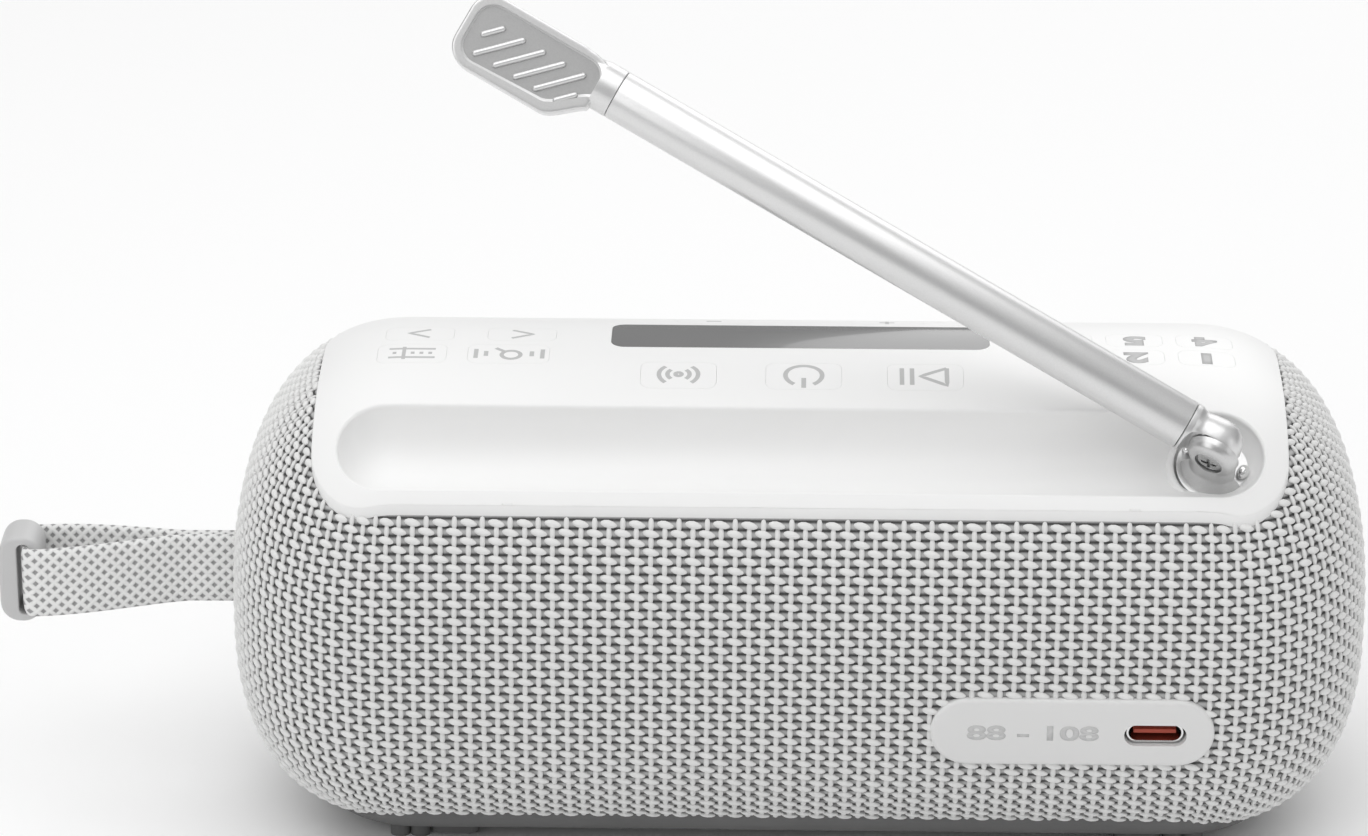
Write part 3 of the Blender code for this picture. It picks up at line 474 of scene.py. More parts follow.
def braidedWebbing(name, pitch=2.0):  # UV runs along and across the strap in millimetres
    paint = Paint(name, Sheen_Weight=0.2)
    uv = paint.place("UV")
    along = paint.node("ShaderNodeSeparateXYZ", None, {"Vector": uv}, 0)
    across = paint.node("ShaderNodeSeparateXYZ", None, {"Vector": uv}, 1)
    turn = math.pi / pitch
    first = ((along + across) * turn).math("SINE").math("ABSOLUTE")
    second = ((along - across) * turn).math("SINE").math("ABSOLUTE")
    strands = first.math("MAXIMUM", second)
    # painted shade: the braid's gaps, where neither strand family lies, are darkened; the strands also darken
    # towards their edges
    braidGapShade = strands.math("LESS_THAN", 0.68)
    fibre = paint.noise(4200, 3, 0.7)
    tone = strands * 0.75 + fibre * 0.25 - braidGapShade * 0.35
    stops = [(0.1, grey(0.34)), (0.42, grey(0.5)), (0.62, grey(0.76)), (0.9, grey(0.88, 0.01))]
    paint.feed("Base Color", paint.ramp(tone, stops))
    paint.feed("Roughness", fibre * 0.2 + 0.65)
    paint.bump(strands - braidGapShade * 0.4 + fibre * 0.15, 0.9, 0.00035)
    return paint.material


finishes = {
    "yarnPill": yarn("yarnPill", 0.78, 0.05),
    "yarnWarp": yarn("yarnWarp", 0.75, 0.05),
    "weaveGround": weaveGround("weaveGround"),
    "panelWhite": mouldedPlastic("panelWhite", 0.88, 0.42, 0.25, 0.004, 0.008),
    "keyWhite": mouldedPlastic("keyWhite", 0.88, 0.42, 0.25, 0.004, 0.008),
    "ink": mouldedPlastic("ink", 0.5, 0.5, 0.1, 0.0, 0.02),
    "plateGrey": mouldedPlastic("plateGrey", 0.74, 0.45, 0.3, 0.004, 0.01),
    "plateInk": mouldedPlastic("plateInk", 0.56, 0.5, 0.1, 0.0, 0.02),
    "clipGrey": mouldedPlastic("clipGrey", 0.56, 0.4, 0.3, 0.0, 0.02),
    "housingDark": mouldedPlastic("housingDark", 0.14, 0.55, 0.4, 0.0, 0.02),
    "blackPlastic": mouldedPlastic("blackPlastic", 0.03, 0.5, 0.4, 0.0, 0.01),
    "tongueRed": colouredPlastic("tongueRed", (0.36, 0.045, 0.025), (0.5, 0.09, 0.05), 0.45),
    "cellBlue": colouredPlastic("cellBlue", (0.05, 0.12, 0.3), (0.07, 0.15, 0.36), 0.3),
    "smokedGlass": smokedGlass("smokedGlass"),
    "satinAluminium": satinAluminium("satinAluminium", 0.74),
    "hingeAluminium": satinAluminium("hingeAluminium", 0.62, 0.34),
    "blastedAluminium": satinAluminium("blastedAluminium", 0.5, 0.5, 0.9),
    "brightMetal": brightMetal("brightMetal"),
    "screwMetal": brightMetal("screwMetal", 0.45, 0.22),
    "rubberSkin": rubberSkin("rubberSkin"),
    "padGrey": rubberSkin("padGrey", 0.15),
    "circuitBoard": circuitBoard("circuitBoard"),
    "braid": braidedWebbing("braid"),
}
print("stage: materials")

# ---- the body's form

sleeveLow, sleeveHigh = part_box("fabric_sleeve")
panelLow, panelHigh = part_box("top_panel")
form = SimpleNamespace(
    halfLength=sleeveHigh.x,
    halfDepth=sleeveHigh.y,
    straightHalf=sleeveHigh.x - 30 * mm,
    widest=34 * mm,
    rise=panelHigh.z - 34 * mm,
    drop=34 * mm,
    upperPower=2.53,
    lowerPower=2.65,
    capPower=2.4,
    capClose=2.5,
)


def capShrink(x, inset=0.0):
    cap = form.halfLength - form.straightHalf - inset
    share = np.clip((np.abs(x) - form.straightHalf) / cap, 0.0, 1.0)
    return (1.0 - share ** form.capPower) ** (1 / form.capClose)


def formHeight(x, y, inset=0.0, lower=False):  # the skin's z above or below a point in plan
    power = form.lowerPower if lower else form.upperPower
    reach = (form.drop if lower else form.rise) - inset
    rest = capShrink(x, inset) ** power - np.abs(y / (form.halfDepth - inset)) ** power
    height = reach * np.clip(rest, 0.0, 1.0) ** (1 / power)
    return form.widest + (-height if lower else height)


def formDepth(x, z, inset=0.0):  # the rear skin's y at a point of the rear elevation
    z = np.asarray(z, float)
    lift = z - form.widest
    power = np.where(lift > 0, form.upperPower, form.lowerPower)
    reach = np.where(lift > 0, form.rise, form.drop) - inset
    rest = capShrink(np.asarray(x, float), inset) ** power - np.abs(lift / reach) ** power
    return (form.halfDepth - inset) * np.clip(rest, 0.0, 1.0) ** (1 / power)


def outsideRounded(x, y, low, high, radius):  # distance outside a rounded rectangle in plan
    cx, cy = (low[0] + high[0]) / 2, (low[1] + high[1]) / 2
    qx = np.abs(x - cx) - (high[0] - low[0]) / 2 + radius
    qy = np.abs(y - cy) - (high[1] - low[1]) / 2 + radius
    return np.hypot(np.maximum(qx, 0), np.maximum(qy, 0)) + np.minimum(np.maximum(qx, qy), 0) - radius


def pillWalk(low, high, radius, count, begin=0.0):  # steps round a pill: core points, directions outwards
    straight, arcLength = high - low, math.pi * radius
    lap = 2 * straight + 2 * arcLength
    walk = (np.arange(count) / count * lap + begin) % lap
    back = walk >= straight + arcLength
    run = walk - back * (straight + arcLength)
    turn = np.clip(run - straight, 0, arcLength) / radius
    run = np.minimum(run, straight)
    sign = np.where(back, -1.0, 1.0)
    return np.where(back, high - run, low + run), sign * np.sin(turn), sign * np.cos(turn)


panelShape = SimpleNamespace(
    low=(panelLow.x, panelLow.y),
    high=(panelHigh.x, panelHigh.y),
    corner=9.5 * mm,
    floorZ=46 * mm,
)
padLow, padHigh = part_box("base_pad")
padShape = SimpleNamespace(
    low=(padLow.x, padLow.y),
    high=(padHigh.x, padHigh.y),
    corner=16 * mm,
    roofZ=17 * mm,
)
labelLow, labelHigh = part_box("label_plate")

# ---- camera, lights and floor

cameraSpot = SimpleNamespace(
    place=Vector((0.0, 815.7, 414.4)) * mm,
    aim=Vector((18.84, -12.0, 59.7)) * mm,
    lens=145.4,
)


def setCamera():
    data = bpy.data.cameras.new("camera")
    data.lens = cameraSpot.lens
    data.sensor_width = 36.0
    camera = link("camera", data)
    camera.location = cameraSpot.place
    look = cameraSpot.aim - cameraSpot.place
    camera.rotation_euler = look.to_track_quat("-Z", "Y").to_euler()
    bpy.context.scene.camera = camera


lamps = [  # name, place, aim, size, watts
    ("overheadSoftbox", (0.1, 0.15, 1.1), (0.0, 0.0, 0.05), 1.3, 6.7),
    ("rearLeftSoftbox", (0.9, 0.9, 0.7), (0.0, 0.0, 0.05), 0.8, 2.6),
    ("frontSoftbox", (-0.4, -1.1, 0.7), (0.0, 0.0, 0.05), 0.9, 3.2),
    ("rightCard", (-1.1, 0.5, 0.35), (0.0, 0.0, 0.05), 0.6, 0.8),
]


def setLights():
    for name, place, aim, size, power in lamps:
        data = bpy.data.lights.new(name, "AREA")
        data.size = size
        data.energy = power
        lamp = link(name, data)
        lamp.location = place
        lamp.rotation_euler = (Vector(aim) - Vector(place)).to_track_quat("-Z", "Y").to_euler()
    world = bpy.data.worlds.new("studio")
    world.use_nodes = True
    bpy.context.scene.world = world
    nodes = world.node_tree.nodes
    links = world.node_tree.links
    spot = nodes.new("ShaderNodeTexCoord")
    split = nodes.new("ShaderNodeSeparateXYZ")
    ramp = nodes.new("ShaderNodeValToRGB")
    links.new(spot.outputs["Generated"], split.inputs[0])
    links.new(split.outputs[2], ramp.inputs[0])
    links.new(ramp.outputs[0], nodes["Background"].inputs[0])
    for stop, position, light in zip(ramp.color_ramp.elements, (0.0, 0.6), (0.5, 1.0)):
        stop.position = position
        stop.color = (light, light, light, 1.0)
    nodes["Background"].inputs[1].default_value = 0.585
    bpy.context.scene.view_settings.view_transform = "Standard"


def layFloor():
    clearSelection()
    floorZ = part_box("base_pad")[0].z
    bpy.ops.mesh.primitive_plane_add(size=12, location=(0, 0, floorZ))
    floor = settle(takeNew("studioFloor"))
    paint = Paint("paleFloor", Roughness=0.9)
    cloud = paint.noise(2, 2)
    paint.tone(cloud, 0.93, 0.95)
    floor.data.materials.append(paint.material)


setCamera()
setLights()
layFloor()
print("stage: camera, lights, floor")

# ---- the woven cover

strap = SimpleNamespace(
    z=38.0 * mm,
    width=11.8 * mm,
    thick=1.4 * mm,
    inside=84.0 * mm,
    meet=99.0 * mm,
    turn=123.3 * mm,
    turnReach=2.1 * mm,
    rearBulge=5.6 * mm,
    frontBulge=4.3 * mm,
    sag=0.9 * mm,
)
weave = SimpleNamespace(
    columns=214,
    rowPitch=1.45 * mm,
    pillHalf=(1.34 * mm, 0.65 * mm, 0.44 * mm),
    warpHalf=(0.46 * mm, 1.08 * mm, 0.34 * mm),
    pillDepth=0.56 * mm,
    warpDepth=0.62 * mm,
    groundDepth=0.88 * mm,
    panelMargin=0.7 * mm,
    plateMargin=-0.1 * mm,
    pieceColumns=54,
    slotHalf=(1.4 * mm, 6 * mm),  # the opening for the strap, half its width and height
    tuck=(0.4 * mm, 3.0 * mm),  # ground cloth this far inside the panel's edge is drawn out to the first
)


def quadrantTable():  # a quadrant's length against a running value, 0 to 1 on the straight, 1 to 2 on the cap
    run = np.linspace(0, 2, 801)
    straight = np.clip(run, 0, 1)
    angle = np.clip(run - 1, 0, 1) * math.pi / 2
    cap = form.halfLength - form.straightHalf
    x = form.straightHalf * straight + cap * np.sin(angle) ** (2 / form.capPower)
    y = form.halfDepth * np.cos(angle) ** (2 / form.capClose)
    length = runningLength(np.diff(x), np.diff(y))
    return length / length[-1], run


def loopPoints(shares, lift):  # points round the body at one height, from the rear's middle towards -X
    lengths, runs = quadrantTable()
    quarter = (shares % 1.0) * 4
    index = np.floor(quarter).astype(int)
    part = quarter - index
    part = np.where(index % 2 == 0, part, 1 - part)
    run = np.interp(part, lengths, runs)
    angle = np.clip(run - 1, 0, 1) * math.pi / 2
    power = form.upperPower if lift > 0 else form.lowerPower
    level = abs(lift) / (form.rise if lift > 0 else form.drop)
    cap = form.halfLength - form.straightHalf
    capReach = cap * (1 - level ** form.capClose) ** (1 / form.capPower)
    x = form.straightHalf * np.clip(run, 0, 1) + capReach * np.sin(angle) ** (2 / form.capPower)
    rest = np.clip(capShrink(x) ** power - level ** power, 0, 1)
    y = form.halfDepth * rest ** (1 / power)
    signX = np.where((index == 0) | (index == 1), -1, 1)
    signY = np.where((index == 0) | (index == 3), 1, -1)
    return np.stack([signX * x, signY * y, np.full_like(x, form.widest + lift)], 1)


def rowLifts():  # heights of the rows, even along the middle section
    lifts = []
    for power, reach, sign in ((form.lowerPower, form.drop, -1), (form.upperPower, form.rise, 1)):
        angle = np.linspace(0, math.pi / 2, 1500)
        y = form.halfDepth * np.cos(angle) ** (2 / power)
        z = reach * np.sin(angle) ** (2 / power)
        length = runningLength(np.diff(y), np.diff(z))
        steps = np.arange(1 if sign < 0 else 0, int(length[-1] * 0.93 / weave.rowPitch))
        lifts += list(sign * np.interp(steps * weave.rowPitch, length, z))
    return sorted(lifts)


def latticeGrid():
    columns = weave.columns
    shares = (np.arange(columns) + 0.5) / columns
    points = np.stack([loopPoints(shares, lift) for lift in rowLifts()])
    along = np.roll(points, -1, 1) - np.roll(points, 1, 1)
    up = np.gradient(points, axis=0)
    alongLength = np.linalg.norm(along, axis=2, keepdims=True)
    along = along / np.maximum(alongLength, 1e-9)
    up = up - along * np.sum(up * along, 2, keepdims=True)
    upLength = np.linalg.norm(up, axis=2, keepdims=True)
    up = up / np.maximum(upLength, 1e-9)
    outward = np.cross(along, up)
    return points, along, up, outward, alongLength / 2, upLength


def coveredBy(points, panelGrow, plateGrow):  # points under the panel, pad or plate, or in the strap's slot
    x, y, z = points[..., 0], points[..., 1], points[..., 2]
    panel = outsideRounded(x, y, panelShape.low, panelShape.high, panelShape.corner)
    pad = outsideRounded(x, y, padShape.low, padShape.high, padShape.corner)
    half = (labelHigh.z - labelLow.z) / 2
    plate = outsideRounded(x, z, (labelLow.x, labelLow.z), (labelHigh.x, labelHigh.z), half)
    slot = np.maximum(np.abs(y) - weave.slotHalf[0], np.abs(z - strap.z) - weave.slotHalf[1])
    under = (panel < panelGrow) & (z > panelShape.floorZ)
    under |= (pad < panelGrow / 2) & (z < padShape.roofZ)
    under |= (plate < plateGrow) & (y > 0)
    under |= (slot < 0) & (x > form.straightHalf)
    return under


def yarnShape(kind):  # one rounded yarn float, along local x for the weft and local y for the warp
    half = getattr(weave, kind + "Half")
    clearSelection()
    bpy.ops.mesh.primitive_uv_sphere_add(segments=8, ring_count=6 if kind == "pill" else 5, radius=1)
    piece = takeNew(kind)
    bpy.ops.object.mode_set(mode="EDIT")
    bpy.ops.mesh.select_all(action="SELECT")
    axis = "Y" if kind == "pill" else "X"
    bpy.ops.transform.rotate(value=math.pi / 2, orient_axis=axis, center_override=(0, 0, 0))
    bpy.ops.transform.resize(value=half)
    bpy.ops.object.mode_set(mode="OBJECT")
    points = np.array([v.co for v in piece.data.vertices])
    faces = [list(p.vertices) for p in piece.data.polygons]
    bpy.data.objects.remove(piece, do_unlink=True)
    if kind == "pill":
        share = points[:, 0] / half[0]
        ahead = np.clip(share, 0, 1)
        behind = np.clip(-share, 0, 1)
        points[:, 1] *= 1.0 - 0.25 * ahead ** 2
        points[:, 1] -= 0.2 * mm * (share + 0.35 * ahead ** 2)
        points[:, 2] -= 0.18 * mm * behind ** 2
    else:
        share = points[:, 1] / half[1]
        points[:, 0] *= 1.0 + 0.25 * share ** 2
        points[:, 2] -= 0.12 * mm * share ** 2
    return points, faces


def scatter(name, template, faces, sites, material):  # one copy of the template at each site
    points, along, up, outward, stretch, squeeze = sites
    count = len(points)
    local = template[None, :, :]
    placed = points[:, None, :] + along[:, None, :] * (local[..., 0:1] * stretch[:, None, :])
    placed = placed + up[:, None, :] * (local[..., 1:2] * squeeze[:, None, :])
    placed = placed + outward[:, None, :] * local[..., 2:3]
    size = len(template)
    allFaces = [[index + number * size for index in face] for number in range(count) for face in faces]
    piece = addMesh(name, placed.reshape(-1, 3), allFaces)
    smoothAll(piece)
    finishPiece(piece, "housing", material)
    return piece


def makeWeave():
    points, along, up, outward, pitch, rise = latticeGrid()
    rows, columns = points.shape[:2]
    nominal = np.median(pitch)
    rowIndex, columnIndex = np.meshgrid(np.arange(rows), np.arange(columns), indexing="ij")
    edges = coveredBy(points, weave.panelMargin, weave.plateMargin)
    small = pitch[..., 0] < 0.45 * nominal
    jitter = np.random.default_rng(7).normal(0, 1, (rows, columns, 3))
    for kind, parity, material in (("pill", 0, "yarnPill"), ("warp", 1, "yarnWarp")):
        template, faces = yarnShape(kind)
        chosen = ((rowIndex + columnIndex) % 2 == parity) & ~edges & ~small
        depth = getattr(weave, kind + "Depth")
        for start in range(0, columns, weave.pieceColumns):
            block = chosen & (columnIndex >= start) & (columnIndex < start + weave.pieceColumns)
            shift = jitter[block]
            spots = points[block] - outward[block] * (depth + 0.02 * mm * np.abs(shift[:, 0:1]))
            spots = spots + along[block] * 0.03 * mm * shift[:, 1:2] + up[block] * 0.02 * mm * shift[:, 2:3]
            stretch = pitch[block] / nominal
            squeeze = rise[block] / weave.rowPitch
            sites = (spots, along[block], up[block], outward[block], stretch, squeeze)
            name = f"{kind}_yarns_{start // weave.pieceColumns + 1}"
            scatter(name, template, faces, sites, material)
    makeGround(points, outward)


def tuckedUnderPanel(skin):  # keeps the ground cloth from reaching past the panel's narrow lip
    x, y = skin[..., 0], skin[..., 1]
    shape = (panelShape.low, panelShape.high, panelShape.corner)
    step = 0.01 * mm
    away = outsideRounded(x, y, *shape)
    slopeX = (outsideRounded(x + step, y, *shape) - away) / step
    slopeY = (outsideRounded(x, y + step, *shape) - away) / step
    least, most = weave.tuck
    near = (away < -least) & (away > -most) & (skin[..., 2] > panelShape.floorZ)
    shift = np.where(near, -least - away, 0.0)
    newX, newY = x + slopeX * shift, y + slopeY * shift
    newZ = np.where(near, formHeight(newX, newY, weave.groundDepth), skin[..., 2])
    return np.stack([newX, newY, newZ], -1)


def makeGround(points, outward):
    hidden = coveredBy(points, -0.4 * mm, -0.9 * mm)
    skin = tuckedUnderPanel(points - outward * weave.groundDepth)
    rows, columns = skin.shape[:2]
    faces = []
    corners = []
    for row in range(rows - 1):
        for column in range(columns):
            following = (column + 1) % columns
            quad = [(row, column), (row, following), (row + 1, following), (row + 1, column)]
            if all(hidden[r, c] for r, c in quad):
                continue
            faces.append([r * columns + c for r, c in quad])
            corners += [(column, row), (column + 1, row), (column + 1, row + 1), (column, row + 1)]
    ground = addMesh("cover_ground", skin.reshape(-1, 3), faces)
    setCorners(ground, "lattice", corners)
    with editing(ground) as work:
        loose = [v for v in work.verts if not v.link_faces]
        bmesh.ops.delete(work, geom=loose, context="VERTS")
    widest = points[rows // 2]
    girth = float(np.linalg.norm(widest - np.roll(widest, 1, 0), axis=1).sum())
    applyModifier(ground, "SOLIDIFY", thickness=0.4 * mm, offset=-1)
    smoothAll(ground)
    finishPiece(ground, "housing", "weaveGround", ["fabric_sleeve"])
    steps = np.linalg.norm(np.diff(points, axis=0), axis=2)
    height = float((steps * ~(hidden[1:] & hidden[:-1])).sum(0).max())


makeWeave()
print("stage: woven cover")

# ---- the antenna's places, from the joints

joints = {joint["name"]: joint for joint in frame["joints"]}
swivelAxis = -Vector(joints["antenna_swivel"]["axis"]).normalized()
discCentre = Vector(joints["antenna_swivel"]["pos_m"])
hingeAxis = -Vector(joints["antenna_tilt"]["axis"]).normalized()
pivot = Vector(joints["antenna_tilt"]["pos_m"])
rodAxis = Vector(joints["antenna_draw_2"]["axis"]).normalized()
rodUp = rodAxis.cross(hingeAxis).normalized()
alongDisc = hingeAxis.cross(swivelAxis).normalized()
tableFrame = frameAt(discCentre, alongDisc, hingeAxis, swivelAxis)
rodFrame = frameAt(pivot, hingeAxis, rodUp, rodAxis)
pinFrame = frameAt(pivot, rodUp, rodAxis, hingeAxis)
worldX = Vector((1.0, 0.0, 0.0))
downSlope = swivelAxis.cross(worldX).normalized()

# ---- the top panel with its antenna bay

bay = SimpleNamespace(
    centre=Vector((0.0, discCentre.y, discCentre.z)) + swivelAxis * 4.0 * mm,
    start=discCentre.x,
    end=65.0 * mm,
    radius=7.2 * mm,
    rim=7.75 * mm,
    depth=6.1 * mm,
    discFloor=5.3 * mm,
    wall=1.2 * mm,
    wallTop=0.75 * mm,
    lip=0.55 * mm,
    underRim=2.4 * mm,
    panelThick=2.0 * mm,
    around=560,
)
bayFrame = frameAt(bay.centre, worldX, downSlope, swivelAxis)


def bayHeight(x, w):  # the skin's height over the bay's mouth plane
    low = np.full_like(x, -14 * mm)
    high = np.full_like(x, 10 * mm)
    centre = np.array(bay.centre)
    for _ in range(34):
        middle = (low + high) / 2
        y = centre[1] + w * downSlope.y + middle * swivelAxis.y
        z = centre[2] + w * downSlope.z + middle * swivelAxis.z
        power = form.upperPower
        lift = np.maximum(z - form.widest, 0) / form.rise
        value = np.abs(y / form.halfDepth) ** power + lift ** power - capShrink(x) ** power
        low = np.where(value < 0, middle, low)
        high = np.where(value < 0, high, middle)
    return (low + high) / 2


def bayToWorld(x, w, height):
    local = np.stack([x, w, height, np.ones_like(x)], 1)
    return (local @ np.array(bayFrame).T)[:, :3]


def bayCore():  # round the bay's mouth, from the middle of the lower lip towards +X
    half = (bay.end - bay.start) / 2
    return pillWalk(bay.start, bay.end, bay.radius, bay.around, half)


def panelOutline(coreX, dx, dw):  # for each rim point, the point of the panel's edge that faces it
    low, high, radius = panelShape.low, panelShape.high, panelShape.corner
    straight = high[0] - radius
    middle = (bay.end + bay.start) / 2
    reach = (bay.end - bay.start) / 2
    side = [(straight, high[1])]
    for cy, first in ((high[1] - radius, 90), (low[1] + radius, 0)):
        for step in range(25):
            angle = math.radians(first - 90 * step / 24)
            side.append((straight + radius * math.cos(angle), cy + radius * math.sin(angle)))
    side = np.array(side)
    length = runningLength(*np.diff(side, axis=0).T)
    share = (math.pi / 2 - np.arctan2(dw, np.abs(dx))) / math.pi
    sideX = np.interp(share * length[-1], length, side[:, 0])
    sideY = np.interp(share * length[-1], length, side[:, 1])
    flat = np.abs(dx) < 1e-9
    x = np.where(flat, (coreX - middle) / reach * straight, np.sign(dx) * sideX)
    y = np.where(flat, np.where(dw > 0, high[1], low[1]), sideY)
    return x, y


def floorDepth(x):  # the trough is shallower under the turntable
    share = np.clip((x - bay.start - 8 * mm) / (14 * mm), 0, 1)
    ease = share * share * (3 - 2 * share)
    return bay.discFloor + (bay.depth - bay.discFloor) * ease


def panelRings():
    coreX, dx, dw = bayCore()
    depth = floorDepth(coreX)
    rim, wall, lip = bay.rim, bay.wall, bay.lip
    rimHeight = bayHeight(coreX + dx * rim, dw * rim)
    wallReach = rim - lip
    top, under = [], []
    steepest = math.radians(74)
    for angle in np.linspace(0, steepest, 14):  # a rounded trough up to its steep wall
        reach = wallReach * math.sin(angle) / math.sin(steepest)
        rise = (1 - math.cos(angle)) / (1 - math.cos(steepest))
        height = -depth + (depth + rimHeight - bay.wallTop) * rise
        top.append(bayToWorld(coreX + dx * reach, dw * reach, height))
        outer = reach + wall * math.sin(angle)
        under.append(bayToWorld(coreX + dx * outer, dw * outer, height - wall))
    for angle in np.radians([15, 32, 50, 70, 90]):  # the rim's rounding
        reach = wallReach + lip * (1 - math.cos(angle))
        height = rimHeight - bay.wallTop * (1 - math.sin(angle))
        top.append(bayToWorld(coreX + dx * reach, dw * reach, height))
    edgeX, edgeY = panelOutline(coreX, dx, dw)
    startX, startY = top[-1][:, 0], top[-1][:, 1]
    underX, underY = under[-1][:, 0], under[-1][:, 1]
    floor = np.maximum(under[-1][:, 2], formHeight(underX, underY) - bay.underRim)
    under.append(np.stack([underX, underY, floor], 1))
    for share in np.linspace(0, 1, 46)[1:] ** 1.15:
        x = startX + (edgeX - startX) * share
        y = startY + (edgeY - startY) * share
        top.append(np.stack([x, y, formHeight(x, y)], 1))
        x = underX + (edgeX - underX) * share
        y = underY + (edgeY - underY) * share
        under.append(np.stack([x, y, formHeight(x, y) - bay.panelThick], 1))
    return top, under


def roundEdge(top, under, radius=0.35 * mm, steps=4):  # rounds the panel's outer edge between the two skins
    edge, inner = top[-1].copy(), top[-2]
    inward = inner - edge
    inward /= np.linalg.norm(inward, axis=1, keepdims=True)
    down = under[-1] - edge
    down /= np.linalg.norm(down, axis=1, keepdims=True)
    corner = []
    for step in range(steps + 1):
        angle = step / steps * math.pi / 2
        corner.append(edge + inward * radius * (1 - math.sin(angle)) + down * radius * (1 - math.cos(angle)))
    return top[:-1] + corner + under[::-1]


def makePanelSolid(name):
    return addRings(name, roundEdge(*panelRings()), closed=False)


keyNodes = sorted(name for name in frame["nodes"] if name.endswith("_key") or name.startswith("preset_key"))
seam = 0.015 * mm


def keyCentre(node):
    low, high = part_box(node)
    return ((low.x + high.x) / 2, (low.y + high.y) / 2)


def keyPrism(name, node, grow):
    low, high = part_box(node)
    width, height = high.x - low.x + 2 * grow, high.y - low.y + 2 * grow
    corner = (2.2 if node == "display_window" else 1.6) * mm + grow
    return addPlate(name, [outlinePoints(width, height, corner, keyCentre(node), 6)], 60 * mm, 90 * mm)


def makePanel():
    panel = makePanelSolid("control_panel")
    tiles = makePanelSolid("key_tiles")
    inlaid = keyNodes + ["display_window"]
    boolean(panel, "DIFFERENCE", joinAll("keyHoles", [keyPrism("hole", node, seam) for node in inlaid]))
    boolean(tiles, "INTERSECT", joinAll("keyBlanks", [keyPrism("blank", node, -seam) for node in inlaid]))
    choose(tiles)
    bpy.ops.mesh.separate(type="LOOSE")
    found = list(bpy.context.selected_objects)
    for tile in found:
        centre = sum((v.co for v in tile.data.vertices), Vector()) / len(tile.data.vertices)
        node = min(inlaid, key=lambda name: math.dist(keyCentre(name), centre[:2]))
        tile.name = node + "_cap" if node != "display_window" else "display_glass"
        shadeByAngle(tile, 30)
        if node == "display_window":
            finishPiece(tile, "housing", "smokedGlass", [node])
        else:
            finishPiece(tile, node + "_body", "keyWhite", [node])
    shadeByAngle(panel, 30)
    finishPiece(panel, "housing", "panelWhite", ["top_panel"])
    return panel


def makeWellCollar():  # the ring of panel plastic round the turntable
    inner = [(6.6, -3.0), (6.6, -0.12), (6.68, -0.03), (6.85, 0.0)]
    profile = inMm(*inner, (7.1, -0.03), (7.5, -0.3), (7.8, -1.0), (8.0, -3.0))
    collar = addTurned("turntable_collar", profile[::-1], 96, closed=True)
    settle(collar, frameAt(discCentre, worldX, downSlope, swivelAxis))
    shadeByAngle(collar, 40)
    finishPiece(collar, "housing", "panelWhite")


makePanel()
makeWellCollar()
print("stage: control panel")

# ---- printed marks

inkRise = 0.012 * mm
inkThick = 0.02 * mm
digitWidening = 1.35


def inkPiece(key, strokes, width):  # strokes are lists of (x, y) in mm round the key's middle
    points, faces = [], []
    for stroke in strokes:
        line = np.array(stroke, float)
        steps = np.diff(line, axis=0)
        steps /= np.maximum(np.linalg.norm(steps, axis=1, keepdims=True), 1e-9)
        tangent = np.vstack([steps[:1], steps[:-1] + steps[1:], steps[-1:]])
        tangent /= np.maximum(np.linalg.norm(tangent, axis=1, keepdims=True), 1e-9)
        side = np.stack([-tangent[:, 1], tangent[:, 0]], 1) * width / 2
        base = len(points)
        for a, b in zip(line + side, line - side):
            points += [a, b]
        for first in range(base, base + 2 * len(line) - 2, 2):
            faces.append((first, first + 1, first + 3, first + 2))
    flat = np.array(points) * mm + np.array(keyCentre(key + "_key"))
    height = formHeight(flat[:, 0], flat[:, 1]) + inkRise
    finishInk(addMesh(key + "_mark", np.column_stack([flat, height]), faces), key + "_key_body")


def finishInk(piece, body, material="ink"):
    with editing(piece) as work:
        bmesh.ops.recalc_face_normals(work, faces=work.faces)
        if sum(face.normal.z + face.normal.y for face in work.faces) < 0:
            bmesh.ops.reverse_faces(work, faces=work.faces)
    applyModifier(piece, "SOLIDIFY", thickness=inkThick, offset=-1)
    finishPiece(piece, body, material)


def line(*points, steps=6):
    out = []
    for first, second in zip(points, points[1:]):
        for step in range(steps):
            share = step / steps
            out.append((first[0] + (second[0] - first[0]) * share, first[1] + (second[1] - first[1]) * share))
    out.append(points[-1])
    return out


def arc(radius, first, last, centre=(0, 0), steps=28, squash=1.0):
    angles = np.radians(np.linspace(first, last, steps + 1))
    return [(centre[0] + radius * math.cos(a), centre[1] + radius * squash * math.sin(a)) for a in angles]


def addText(name, text, size, weight, cuts, place):  # place moves each point of the flat text onto the skin
    clearSelection()
    bpy.ops.object.text_add()
    label = bpy.context.object.data
    label.body = text
    label.size = size
    label.align_x = "CENTER"
    label.align_y = "CENTER"
    label.offset = weight
    label.resolution_u = 4
    bpy.ops.object.convert(target="MESH")
    piece = takeNew(name)
    applyModifier(piece, "TRIANGULATE")
    with editing(piece) as work:
        bmesh.ops.subdivide_edges(work, edges=work.edges, cuts=cuts, use_grid_fill=True)
        for vert in work.verts:
            vert.co = place(vert.co.x, vert.co.y)
    return piece


def makeDigit(number):
    node = f"preset_key_{number}"
    centre = keyCentre(node)

    def place(across, up):
        x, y = centre[0] + digitWidening * across, centre[1] + up
        return x, y, float(formHeight(np.array(x), np.array(y))) + inkRise

    piece = addText(f"preset_mark_{number}", str(number), 5 * mm, 0.375 * mm, 2, place)
    finishInk(piece, node + "_body")


